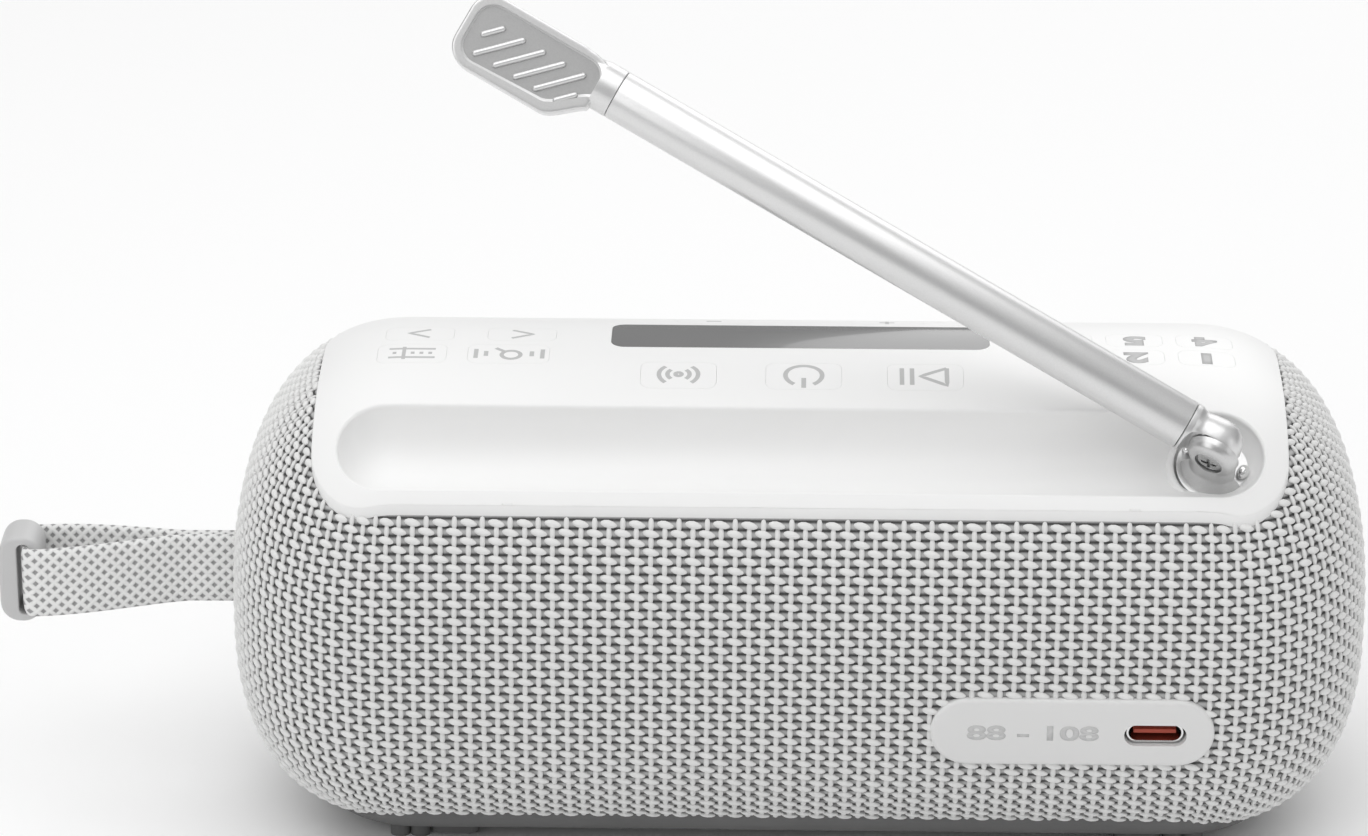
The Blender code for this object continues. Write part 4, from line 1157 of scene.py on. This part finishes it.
def makeMarks():
    power = [arc(2.9, 122, 418, steps=40), line((0, 0.8), (0, 3.4))]
    inkPiece("power", power, 0.75)
    waves = [arc(0.5, 0, 360, steps=14)]
    for radius in (1.75, 3.1):
        waves += [arc(radius, -48, 48, steps=12), arc(radius, 132, 228, steps=12)]
    inkPiece("link", waves, 0.72)
    play = [line((-3.4, -2.5), (-3.4, 2.5), (0.8, 0.0), (-3.4, -2.5))]
    play += [line((x, -2.4), (x, 2.4)) for x in (2.1, 3.7)]
    inkPiece("play", play, 0.72)
    ahead = [line((-1.6, 1.8), (1.8, 0.0), (-1.6, -1.8))]
    inkPiece("next", ahead, 0.6)
    back = [line((1.6, 1.8), (-1.8, 0.0), (1.6, -1.8))]
    inkPiece("previous", back, 0.6)
    scan = [arc(1.5, 0, 360, (-0.4, 0.4), 24), line((0.7, -0.8), (2.1, -2.1))]
    scan += [line((x, 1.7), (x, -1.7)) for x in (-5.4, 5.2)]
    scan += [line((x, 0.9), (x, -0.9)) for x in (-3.7, 3.6)]
    inkPiece("scan", scan, 0.7)
    band = [line((-3.7, 1.6), (3.7, 1.6)), line((-3.7, -1.6), (3.7, -1.6)), line((1.3, 2.3), (1.3, -2.3))]
    band += [line((x, 0.4), (x, -0.4)) for x in (-2.9, -1.5, -0.1, 2.8)]
    inkPiece("band", band, 0.6)
    inkPiece("volume_down", [line((-1.2, 0), (1.2, 0))], 0.6)
    plus = [line((-1.2, 0), (1.2, 0)), line((0, 1.2), (0, -1.2))]
    inkPiece("volume_up", plus, 0.6)
    for number in range(1, 7):
        makeDigit(number)


makeMarks()
print("stage: marks")

# ---- turntable, hinge and antenna

hinge = SimpleNamespace(
    discRadius=6.3 * mm,
    earRadius=4.2 * mm,
    height=(pivot - discCentre).length,
    lap=1.6 * mm,  # the lap plane, towards the screw
    lapGap=0.12 * mm,
    seamAt=5.9 * mm,
    collarFrom=3.0 * mm,
    cove=2.4 * mm,
    rod=4.0 * mm,
)


def makeTurntable():
    edge = hinge.discRadius / mm
    top = [(0.0, 0.0), (edge - 0.9, 0.0), (edge - 0.35, -0.04), (edge - 0.1, -0.14), (edge, -0.35)]
    profile = inMm(*top, (edge, -1.1), (2.5, -1.1), (2.5, -9.0), (0.0, -9.0))
    disc = addTurned("turntable_disc", profile, 96)
    shadeByAngle(disc, 30)
    acrossPin = Matrix.Translation((0, 0, hinge.height)) @ Matrix.Rotation(-math.pi / 2, 4, "X")
    radius = hinge.earRadius
    sides = [(0.0, -1.0), (1.0, -1.0), (1.0, 1.9)]  # share of the radius, height in mm
    dome = [(0.96, 2.7), (0.85, 3.4), (0.7, 3.8), (0.5, 3.95), (0.0, 3.95)]
    boss = addTurned("boss", [(radius * share, height * mm) for share, height in sides + dome], 64)
    settle(boss, acrossPin)
    foot = outlinePoints(2 * radius - 0.3 * mm, 7.6 * mm, 3.4 * mm, (0, 0.2 * mm))
    post = addPlate("post", [foot], -0.8 * mm, hinge.height)
    flare = addRod("flare", 5.9 * mm, -0.6 * mm, 3.2 * mm, 48, 3.2 * mm)
    ear = remesh(joinAll("hinge_ear", [boss, post, flare]), 0.15 * mm, 14)
    lapFace = hinge.lap + hinge.lapGap
    half = addBlock("half", (-9 * mm, lapFace, -0.3 * mm), (9 * mm, 5.4 * mm, 14 * mm))
    boolean(ear, "INTERSECT", half)
    boolean(ear, "INTERSECT", addRod("limit", hinge.discRadius - 0.25 * mm, -1 * mm, 20 * mm, 64))
    recess = settle(addRod("recess", 2.3 * mm, 3.2 * mm, 8 * mm, 48), acrossPin)
    boolean(ear, "DIFFERENCE", recess)
    shadeByAngle(ear, 40)
    lugs = []
    for station in (-4.3, 5.1):
        lug = addBall("lug", 1.15 * mm, (0, 0, 0), 24, 14)
        place = Matrix.Translation((station * mm, -0.7 * mm, 0.45 * mm))
        lug.data.transform(place @ Matrix.Diagonal((0.85, 1.1, 0.9, 1.0)))
        lugs.append(lug)
    lugs = joinAll("turntable_lugs", lugs)
    shadeByAngle(lugs, 60)
    for piece in (disc, ear, lugs):
        settle(piece, tableFrame)
    finishPiece(disc, "turntable", "hingeAluminium", ["turntable"])
    finishPiece(ear, "turntable", "hingeAluminium")
    finishPiece(lugs, "turntable", "brightMetal")
    makeHingeScrew()


def makeHingeScrew():
    head = 3.25
    dome = [(0.0, 0.62), (1.0, 0.6), (1.6, 0.52), (2.0, 0.36), (2.1, 0.2), (2.1, 0.0), (1.2, 0.0)]
    profile = inMm(*[(radius, head + rise) for radius, rise in dome], (1.2, -3.4), (0.0, -3.4))
    screw = addTurned("hinge_screw_detail", profile, 48)
    for turn in (0.35, 0.35 + math.pi / 2):
        corners = [(-1.25 * mm, -0.27 * mm, (head + 0.1) * mm), (1.25 * mm, 0.27 * mm, (head + 2) * mm)]
        blade = addBlock("blade", *corners)
        settle(blade, Matrix.Rotation(turn, 4, "Z"))
        boolean(screw, "DIFFERENCE", blade)
    shadeByAngle(screw, 35)
    settle(screw, pinFrame)
    finishPiece(screw, "turntable", "screwMetal", ["hinge_screw"])


def makeKnuckle():
    rod = hinge.rod
    seamAt = hinge.seamAt
    shape = [  # shares of the rod's radius: outward and along it
        (0.0, -0.93), (0.36, -0.85), (0.66, -0.68), (0.87, -0.42), (0.98, -0.12), (0.99, 0.2), (0.94, 0.6),
        (0.89, 0.85), (0.89, 1.0), (0.93, 1.12), (0.985, 1.2), (1.0, 1.24)
    ]
    profile = [(rod * out, rod * along) for out, along in shape]
    profile += [(rod, seamAt - 0.2 * mm), (rod - 0.12 * mm, seamAt - 0.07 * mm)]
    profile += [(3.2 * mm, seamAt - 0.05 * mm), (3.2 * mm, seamAt + 2 * mm), (0.0, seamAt + 2 * mm)]
    knuckle = addTurned("hinge_knuckle", profile, 96)
    far = 3 * rod
    lapFace = hinge.lap - hinge.lapGap
    lapCut = addBlock("lap", (lapFace, -far, -far), (far, far, hinge.collarFrom))
    cove = addRod("cove", hinge.cove, -far, far, 64)
    place = Matrix.Translation((lapFace + hinge.cove, 0, hinge.collarFrom))
    settle(cove, place @ Matrix.Rotation(math.pi / 2, 4, "X"))
    boolean(knuckle, "DIFFERENCE", lapCut)
    boolean(knuckle, "DIFFERENCE", cove)
    roundOff(knuckle, 0.12 * mm, 2, 50)
    shadeByAngle(knuckle, 35)
    settle(knuckle, rodFrame)
    finishPiece(knuckle, "antenna_arm", "satinAluminium", ["knuckle"])


stages = [  # node, body, outer radius, bore radius in mm
    ("antenna_tube_1", "antenna_arm", 4.0, 3.5),
    ("antenna_tube_2", "antenna_stage_2", 3.3, 2.9),
    ("antenna_tube_3", "antenna_stage_3", 2.7, 2.3),
    ("antenna_tube_4", "antenna_stage_4", 2.1, 1.7),
]


def nodeSpan(node):  # lowest and highest station of a node along the rod
    stations = [(vertex.co - pivot).dot(rodAxis) for vertex in frame["nodes"][node].data.vertices]
    return min(stations), max(stations)


def makeTubes():
    for number, (node, body, outer, bore) in enumerate(stages):
        low, high = nodeSpan(node)
        if number == 0:
            low -= 0.11 * mm
            high += 0.06 * mm
        edge, chamfer = 0.12 * mm, 0.03 * mm
        outer, bore = outer * mm, bore * mm
        rim = [(outer - edge, 0.0), (outer - chamfer, 0.05 * mm), (outer, edge)]
        profile = [(bore, high)] + [(radius, high - inside) for radius, inside in rim]
        profile += [(radius, low + inside) for radius, inside in rim[::-1]] + [(bore, low)]
        tube = addTurned(node + "_shell", profile, 96, closed=True)
        shadeByAngle(tube, 40)
        settle(tube, rodFrame)
        finish = "satinAluminium" if number == 0 else "brightMetal"
        finishPiece(tube, body, finish, [node])


paddle = SimpleNamespace(
    neck=4.4 * mm,
    length=22.1 * mm,
    width=12.6 * mm,
    thick=5.4 * mm,
    corner=3.9 * mm,
    faceInset=1.25 * mm,
    faceFrom=3.0 * mm,
    faceDepth=0.55 * mm,
    ribPitch=3.64 * mm,
    rib=0.48 * mm,
)


def neckSide(share):  # how far down the blade's lower edge lies, from the neck at 0 to the full width at 1
    rod, bottom = hinge.rod, hinge.rod - paddle.width
    share = min(max(share, 0.0), 1.0)
    return -rod + 0.1 * mm + (bottom + rod - 0.1 * mm) * (share * share * (3 - 2 * share)) ** 1.15


def faceOutline(low, high, tubeTop, inset, corner):  # the recessed face, which keeps clear of the swept edge
    rod = hinge.rod
    bottom, top = rod - paddle.width + inset, rod - inset
    points = []
    end, ceiling = high - corner, top - corner
    for cx, cy, first in ((end, bottom + corner, -90), (end, ceiling, 0), (low + corner, ceiling, 90)):
        for step in range(9):
            angle = math.radians(first + 90 * step / 8)
            points.append((cx + corner * math.cos(angle), cy + corner * math.sin(angle)))
    reach = (tubeTop + 9.3 * mm + 1.5 * mm) - low
    for step in range(15):
        station = low + reach * step / 14
        share = (station - 0.6 * inset - tubeTop - 0.9 * mm) / (8.4 * mm)
        points.append((station, max(bottom, neckSide(share) + 1.3 * inset)))
    return points


def paddleOutline(tubeTop):  # in (along the rod, across it); the neck sweeps down into the blade
    rod = hinge.rod
    end = tubeTop + paddle.neck + paddle.length
    bottom = rod - paddle.width
    corner = paddle.corner
    points = []
    for step in range(3, 13):
        share = step / 12
        points.append((tubeTop + (0.9 + 8.4 * share) * mm, neckSide(share)))
    for cy, first in ((bottom + corner, -90), (rod - corner, 0)):
        for step in range(11):
            angle = math.radians(first + 90 * step / 10)
            points.append((end - corner + corner * math.cos(angle), cy + corner * math.sin(angle)))
    for station, drop in ((8.0, 0.0), (5.6, 0.25), (4.0, 0.65), (2.6, 1.2)):
        points.append((tubeTop + station * mm, rod - drop * mm))
    return points


def makePaddle():
    tubeTop = nodeSpan("antenna_tube_1")[1]
    rod = hinge.rod
    up = Vector((-0.5, -0.366, 0.785))
    up = (up - rodAxis * up.dot(rodAxis)).normalized()
    bladeFrame = frameAt(pivot, rodAxis, up, rodAxis.cross(up))  # the ribbed side faces local -z
    start = tubeTop + paddle.neck
    centre = (start + paddle.length / 2, rod - paddle.width / 2)
    half = paddle.thick / 2
    blade = addPlate("blade", [paddleOutline(tubeTop)], -half, half)
    roundOff(blade, 1.3 * mm, 5, 50)
    alongX = Matrix.Rotation(math.pi / 2, 4, "Y")
    neck = settle(addRod("neck", rod, tubeTop + 1.2 * mm, tubeTop + 3.2 * mm, 64), alongX)
    taper = settle(addRod("taper", rod, tubeTop + 3.1 * mm, tubeTop + 11 * mm, 64, half - 0.2 * mm), alongX)
    tip = remesh(joinAll("antenna_paddle", [blade, neck, taper]), 0.17 * mm, 8)
    inset = paddle.faceInset
    faceLow, faceHigh = tubeTop + paddle.faceFrom, start + paddle.length - inset
    inner = faceOutline(faceLow, faceHigh, tubeTop, inset, paddle.corner - 0.8 * mm)
    floor = -half + paddle.faceDepth
    recess = addPlate("recess", [inner], -12 * mm, floor)
    roundOff(recess, 0.35 * mm, 3, 50)
    boolean(tip, "DIFFERENCE", recess)
    shadeByAngle(tip, 40)
    margin = 0.35 * mm
    faceCorner = paddle.corner - 1.15 * mm
    inner = faceOutline(faceLow + margin, faceHigh - margin, tubeTop, inset + margin, faceCorner)
    face = addPlate("paddle_face", [inner], floor - 0.03 * mm, floor + 0.1 * mm)
    out = rod / mm
    edge = [(0.0, 3.4), (out - 0.02, 3.4), (out, 3.0), (out, 0.26), (out - 0.12, 0.13), (1.5, 0.12)]
    stem = [(1.5, -84.0), (0.0, -84.0)]
    profile = [(radius, station + tubeTop) for radius, station in inMm(*edge, *stem)]
    collar = addTurned("paddle_collar", profile, 96)
    settle(collar, alongX)
    shadeByAngle(collar, 40)
    ribs = []
    turn = Matrix.Rotation(math.radians(-45), 4, "Z")
    slant = turn @ worldX
    for number in range(6):
        length = (4.1 if number in (0, 5) else 8.7) * mm
        slide = {0: 2.3 * mm, 5: -2.3 * mm}.get(number, 0.0)
        reach = length / 2 - paddle.rib
        rib = addRod("rib", paddle.rib, -reach, reach, 24)
        ends = [addBall("end", paddle.rib, (0, 0, side * reach), 24, 12) for side in (-1, 1)]
        rib = joinAll("rib", [rib, *ends])
        station = centre[0] - 1.3 * mm + (number - 2.5) * paddle.ribPitch
        spot = Matrix.Translation(Vector((station, centre[1] - 0.7 * mm, floor - 0.1 * mm)) + slant * slide)
        settle(rib, spot @ turn @ alongX)
        ribs.append(rib)
    ribs = joinAll("paddle_ribs", ribs)
    shadeByAngle(ribs, 70)
    for piece in (tip, collar, ribs, face):
        settle(piece, bladeFrame)
    finishPiece(face, "antenna_end", "blastedAluminium")
    finishPiece(tip, "antenna_end", "satinAluminium", ["antenna_tip"])
    finishPiece(collar, "antenna_end", "satinAluminium")
    finishPiece(ribs, "antenna_end", "satinAluminium")


makeTurntable()
makeKnuckle()
makeTubes()
makePaddle()
print("stage: antenna")

# ---- strap and clip

# the frame of a flat shape that is seen from the rear
rearward = frameAt(Vector(), worldX, Vector((0, 0, -1)), Vector((0, 1, 0)))
clipShape = SimpleNamespace(
    low=122.8 * mm,
    high=129.7 * mm,
    height=15.0 * mm,
    deep=8.0 * mm,
    shiftY=0.5 * mm,
    corner=3.2 * mm,
    slotLow=124.6 * mm,
    slotHigh=126.7 * mm,
)


def strapHalf(x, bulge):
    together = strap.thick / 2 + 0.05 * mm
    share = min(max(0.0, (x - strap.meet) / (strap.turn - strap.meet)), 1.0)
    return together + (bulge - together) * math.sin(share * math.pi / 2) ** 1.3


def strapPath():  # the webbing's middle line in plan, out along the rear side and back along the front
    stations = np.linspace(strap.inside, strap.turn, 60)
    out = [(x, strapHalf(x, strap.rearBulge)) for x in stations]
    back = [(x, -strapHalf(x, strap.frontBulge)) for x in stations[::-1]]
    turn = []
    for step in range(1, 24):
        angle = math.pi / 2 - math.pi * step / 24
        x = strap.turn + strap.turnReach * math.cos(angle) ** 0.5
        bulge = strap.rearBulge if angle > 0 else strap.frontBulge
        turn.append((x, math.copysign(bulge * abs(math.sin(angle)) ** 0.5, math.sin(angle))))
    return np.array(out + turn + back)


def makeStrap():
    path = strapPath()
    length = runningLength(*np.diff(path, axis=0).T)
    walk = np.linspace(0, length[-1], 260)
    line2 = np.stack([np.interp(walk, length, path[:, 0]), np.interp(walk, length, path[:, 1])], 1)
    tangent = np.gradient(line2, axis=0)
    tangent /= np.linalg.norm(tangent, axis=1, keepdims=True)
    normal = np.stack([-tangent[:, 1], tangent[:, 0]], 1)
    half, thick = strap.width / 2, strap.thick / 2
    section = []
    for across in np.linspace(-1, 1, 15):
        section.append((across * (half - 0.1 * mm), thick * (1 - 0.45 * abs(across) ** 8)))
    section += [(a, -b) for a, b in section[::-1]]
    count = len(section)
    points, faces, corners = [], [], []
    sides = [math.dist(section[i], section[(i + 1) % count]) for i in range(count)]
    perimeter = np.concatenate([[0], np.cumsum(sides)]) * 1000
    for i in range(len(walk)):
        for across, out in section:
            spot = line2[i] + normal[i] * out
            share = min(max((spot[0] - 92 * mm) / (32 * mm), 0.0), 1.0)
            points.append((spot[0], spot[1], strap.z + across - strap.sag * share ** 2))
    for i in range(len(walk) - 1):
        for j in range(count):
            following = (j + 1) % count
            a, b = i * count, (i + 1) * count
            faces.append((a + j, a + following, b + following, b + j))
            (here, ahead), (low, high) = walk[i:i + 2] * 1000, perimeter[j:j + 2]
            corners += [(here, low), (here, high), (ahead, high), (ahead, low)]
    webbing = addMesh("carry_strap", points, faces)
    setCorners(webbing, "along", corners)
    choose(webbing)
    bpy.ops.object.mode_set(mode="EDIT")
    bpy.ops.mesh.select_all(action="SELECT")
    bpy.ops.mesh.normals_make_consistent(inside=False)
    bpy.ops.mesh.select_all(action="DESELECT")
    bpy.ops.object.mode_set(mode="OBJECT")
    smoothAll(webbing)
    webbing.data.materials.append(finishes["braid"])
    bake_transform(webbing)
    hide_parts("strap_webbing", "strap_root")
    print("strap cut:", strap.width, "x", round(float(length[-1]), 4))
    return webbing, float(length[-1])


def makeClip():
    width = clipShape.high - clipShape.low
    upright = Matrix.Translation((0, clipShape.shiftY, 0)) @ rearward
    z = strap.z - strap.sag
    centre = ((clipShape.low + clipShape.high) / 2, -z)
    half = clipShape.deep / 2
    outline = outlinePoints(width, clipShape.height, clipShape.corner, centre)
    clip = settle(addPlate("strap_clip", [outline], -half, half), upright)
    clip = remesh(clip, 0.22 * mm, 26)
    slotWide = clipShape.slotHigh - clipShape.slotLow
    tall = strap.width + 0.6 * mm
    middle = ((clipShape.slotLow + clipShape.slotHigh) / 2, -z)
    slot = addPlate("slot", [outlinePoints(slotWide, tall, 1.0 * mm, middle)], -9 * mm, 9 * mm)
    boolean(clip, "DIFFERENCE", settle(slot, upright))
    for bulge, side in ((strap.rearBulge, 1), (strap.frontBulge, -1)):
        near = side * (bulge - strap.thick / 2 - 0.2 * mm)
        span = sorted((near, side * 9 * mm))
        low = (clipShape.low - 2 * mm, span[0], z - tall / 2)
        boolean(clip, "DIFFERENCE", addBlock("pocket", low, (middle[0], span[1], z + tall / 2)))
    remesh(clip, 0.16 * mm, 8)
    shadeByAngle(clip, 60)
    finishPiece(clip, "strap", "clipGrey", ["strap_end_clip"])
    return clip


webbing, webbingLength = makeStrap()
clip = makeClip()
print("stage: strap")

# ---- label plate and socket


def stadiumRing(centre, length, height, shrink, count=160):  # a pill outline in (x, z), moved in by shrink
    reach = (length - height) / 2
    core, dx, dz = pillWalk(-reach, reach, height / 2, count)
    radius = height / 2 - shrink
    return centre[0] + core + dx * radius, centre[1] + dz * radius


plateInset = -0.25 * mm  # the plate stands this far proud of the body's form
scaleAt = -37 * mm
scaleWidening = 1.75
# length, height and end radius of the cut-outs and pieces round the socket's shell
socket = SimpleNamespace(
    hole=(9.8 * mm, 3.7 * mm, 1.84 * mm),
    liner=(9.9 * mm, 3.9 * mm, 1.9 * mm),
    throatOutside=(10.4 * mm, 4.3 * mm, 2.1 * mm),
    throatInside=(9.86 * mm, 3.76 * mm, 1.87 * mm),
    wall=0.32 * mm,
)


def makeLabelPlate():
    centre = ((labelLow.x + labelHigh.x) / 2, (labelLow.z + labelHigh.z) / 2)
    length, height = labelHigh.x - labelLow.x, labelHigh.z - labelLow.z
    rings = []
    for shrink in np.linspace(height / 2, 0.8 * mm, 12):
        x, z = stadiumRing(centre, length, height, shrink)
        rings.append(np.stack([x, formDepth(x, z, plateInset), z], 1))
    for angle in np.radians([15, 35, 55, 75, 90]):
        shrink = 0.8 * mm - 0.7 * mm * math.sin(angle)
        x, z = stadiumRing(centre, length, height, shrink)
        rings.append(np.stack([x, formDepth(x, z, plateInset) - 0.7 * mm * (1 - math.cos(angle)), z], 1))
    for shrink in (0.1 * mm, height / 2):
        x, z = stadiumRing(centre, length, height, shrink)
        rings.append(np.stack([x, formDepth(x, z, 2.6 * mm), z], 1))
    plate = addRings("label_plate_skin", rings, closed=False)
    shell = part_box("usb_shell")
    spot = ((shell[0].x + shell[1].x) / 2, -(shell[0].z + shell[1].z) / 2)
    hole = addPlate("hole", [outlinePoints(*socket.hole, spot)], 25 * mm, 50 * mm)
    settle(hole, rearward)
    boolean(plate, "DIFFERENCE", hole)
    shadeByAngle(plate, 40)
    finishPiece(plate, "housing", "plateGrey", ["label_plate"])
    makeSocket(spot)
    makeScaleMark(centre)


def makeSocket(spot):
    low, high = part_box("usb_shell")
    outer = outlinePoints(high.x - low.x, high.z - low.z, (high.z - low.z) / 2, spot)
    wall = socket.wall
    length, height = high.x - low.x - 2 * wall, high.z - low.z - 2 * wall
    bore = outlinePoints(length, height, height / 2, spot)
    shell = addPlate("socket_shell", [outer, bore], low.y, high.y)
    roundOff(shell, 0.1 * mm, 3, 50)
    settle(shell, rearward)
    shadeByAngle(shell, 40)
    finishPiece(shell, "housing", "brightMetal", ["usb_shell"])
    edge = outlinePoints(*socket.liner, spot)
    liner = addPlate("socket_liner", [edge], low.y - 0.8 * mm, low.y - 0.1 * mm)
    settle(liner, rearward)
    finishPiece(liner, "housing", "blackPlastic")
    outside = outlinePoints(*socket.throatOutside, spot)
    inside = outlinePoints(*socket.throatInside, spot)
    throat = addPlate("socket_throat", [outside, inside], low.y - 0.5 * mm, high.y - 0.9 * mm)
    settle(throat, rearward)
    shadeByAngle(throat, 40)
    finishPiece(throat, "housing", "blackPlastic")
    tongueLow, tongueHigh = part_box("usb_tongue")
    tongue = addBlock("socket_tongue", tongueLow, tongueHigh)
    roundOff(tongue, 0.12 * mm, 2)
    shadeByAngle(tongue, 40)
    finishPiece(tongue, "housing", "tongueRed", ["usb_tongue"])


def makeScaleMark(centre):  # a plain tuning scale: the two ends of the broadcast band
    def place(across, up):
        x, z = scaleAt - scaleWidening * across, centre[1] + up
        return x, float(formDepth(x, z, plateInset)) + inkRise, z

    piece = addText("plate_scale", "88 - 108", 3.5 * mm, 0.12 * mm, 1, place)
    finishInk(piece, "housing", "plateInk")


makeLabelPlate()
print("stage: label plate and socket")

# ---- base pad


pad = SimpleNamespace(
    bulge=1.35 * mm,
    sink=0.1 * mm,
    backDepth=1.6 * mm,
    footAt=17.5 * mm,
    footBars=((64.2, 3.2, -1.0), (60.95, 3.2, -1.0), (55.2, 7.6, -0.3)),  # station, length and drop in mm
)


def makeBasePad():
    low, high, radius = padShape.low, padShape.high, padShape.corner
    outline = np.array(outlinePoints(high[0] - low[0], high[1] - low[1], radius, steps=24))
    dense = np.vstack([outline, outline[:1]])
    length = runningLength(*np.diff(dense, axis=0).T)
    walk = np.arange(220) / 220 * length[-1]
    x, y = np.interp(walk, length, dense[:, 0]), np.interp(walk, length, dense[:, 1])
    skin = []
    for share in 1 - (1 - np.linspace(0, 1, 34)) ** 1.6:
        px, py = x * share, y * share
        away = np.clip((1 - share) / 0.1, 0, 1)
        bulge = pad.bulge * away * (2 - away)
        height = np.maximum(formHeight(px, py, pad.sink, lower=True) - bulge, 0.0)
        skin.append(np.stack([px, py, height], 1))
    back = []
    for share in np.linspace(1, 0, 8):
        px, py = x * share, y * share
        back.append(np.stack([px, py, formHeight(px, py, pad.backDepth, lower=True)], 1))
    piece = addRings("base_pad_skin", skin + back, closed=False)
    finishPiece(piece, "housing", "padGrey", ["base_pad"])
    feet = []
    for sx in (-1, 1):
        for sy in (-1, 1):
            for station, length, drop in pad.footBars:
                foot = addPlate("foot", [outlinePoints(length * mm, 4.4 * mm, 1.5 * mm)], 0.0, 4.5 * mm)
                roundOff(foot, 1.2 * mm, 5, 50)
                settle(foot, Matrix.Translation((sx * station * mm, sy * pad.footAt, drop * mm)))
                feet.append(foot)
    feet = joinAll("base_feet", feet)
    shadeByAngle(feet, 40)
    finishPiece(feet, "housing", "padGrey")


makeBasePad()

# ---- finishes for the pieces kept from the CAD

innerFinish = {
    "front_housing": "housingDark",
    "rear_housing": "housingDark",
    "display_module": "blackPlastic",
    "keypad_board": "circuitBoard",
    "main_board": "circuitBoard",
    "tuner_module": "brightMetal",
    "battery_tray": "housingDark",
    "battery_cell": "cellBlue",
    "speaker_frame": "brightMetal",
    "speaker_cone": "blackPlastic",
    "speaker_surround": "rubberSkin",
    "speaker_magnet": "blackPlastic",
    "passive_radiator": "blackPlastic",
    "housing_screw": "screwMetal",
    "turntable_clip": "brightMetal",
    "strap_anchor": "brightMetal",
}


def paintInside():
    for name, node in frame["nodes"].items():
        for start, finish in innerFinish.items():
            if name.startswith(start):
                node.data.materials.clear()
                node.data.materials.append(finishes[finish])


paintInside()
print("stage: base pad and inner finishes")
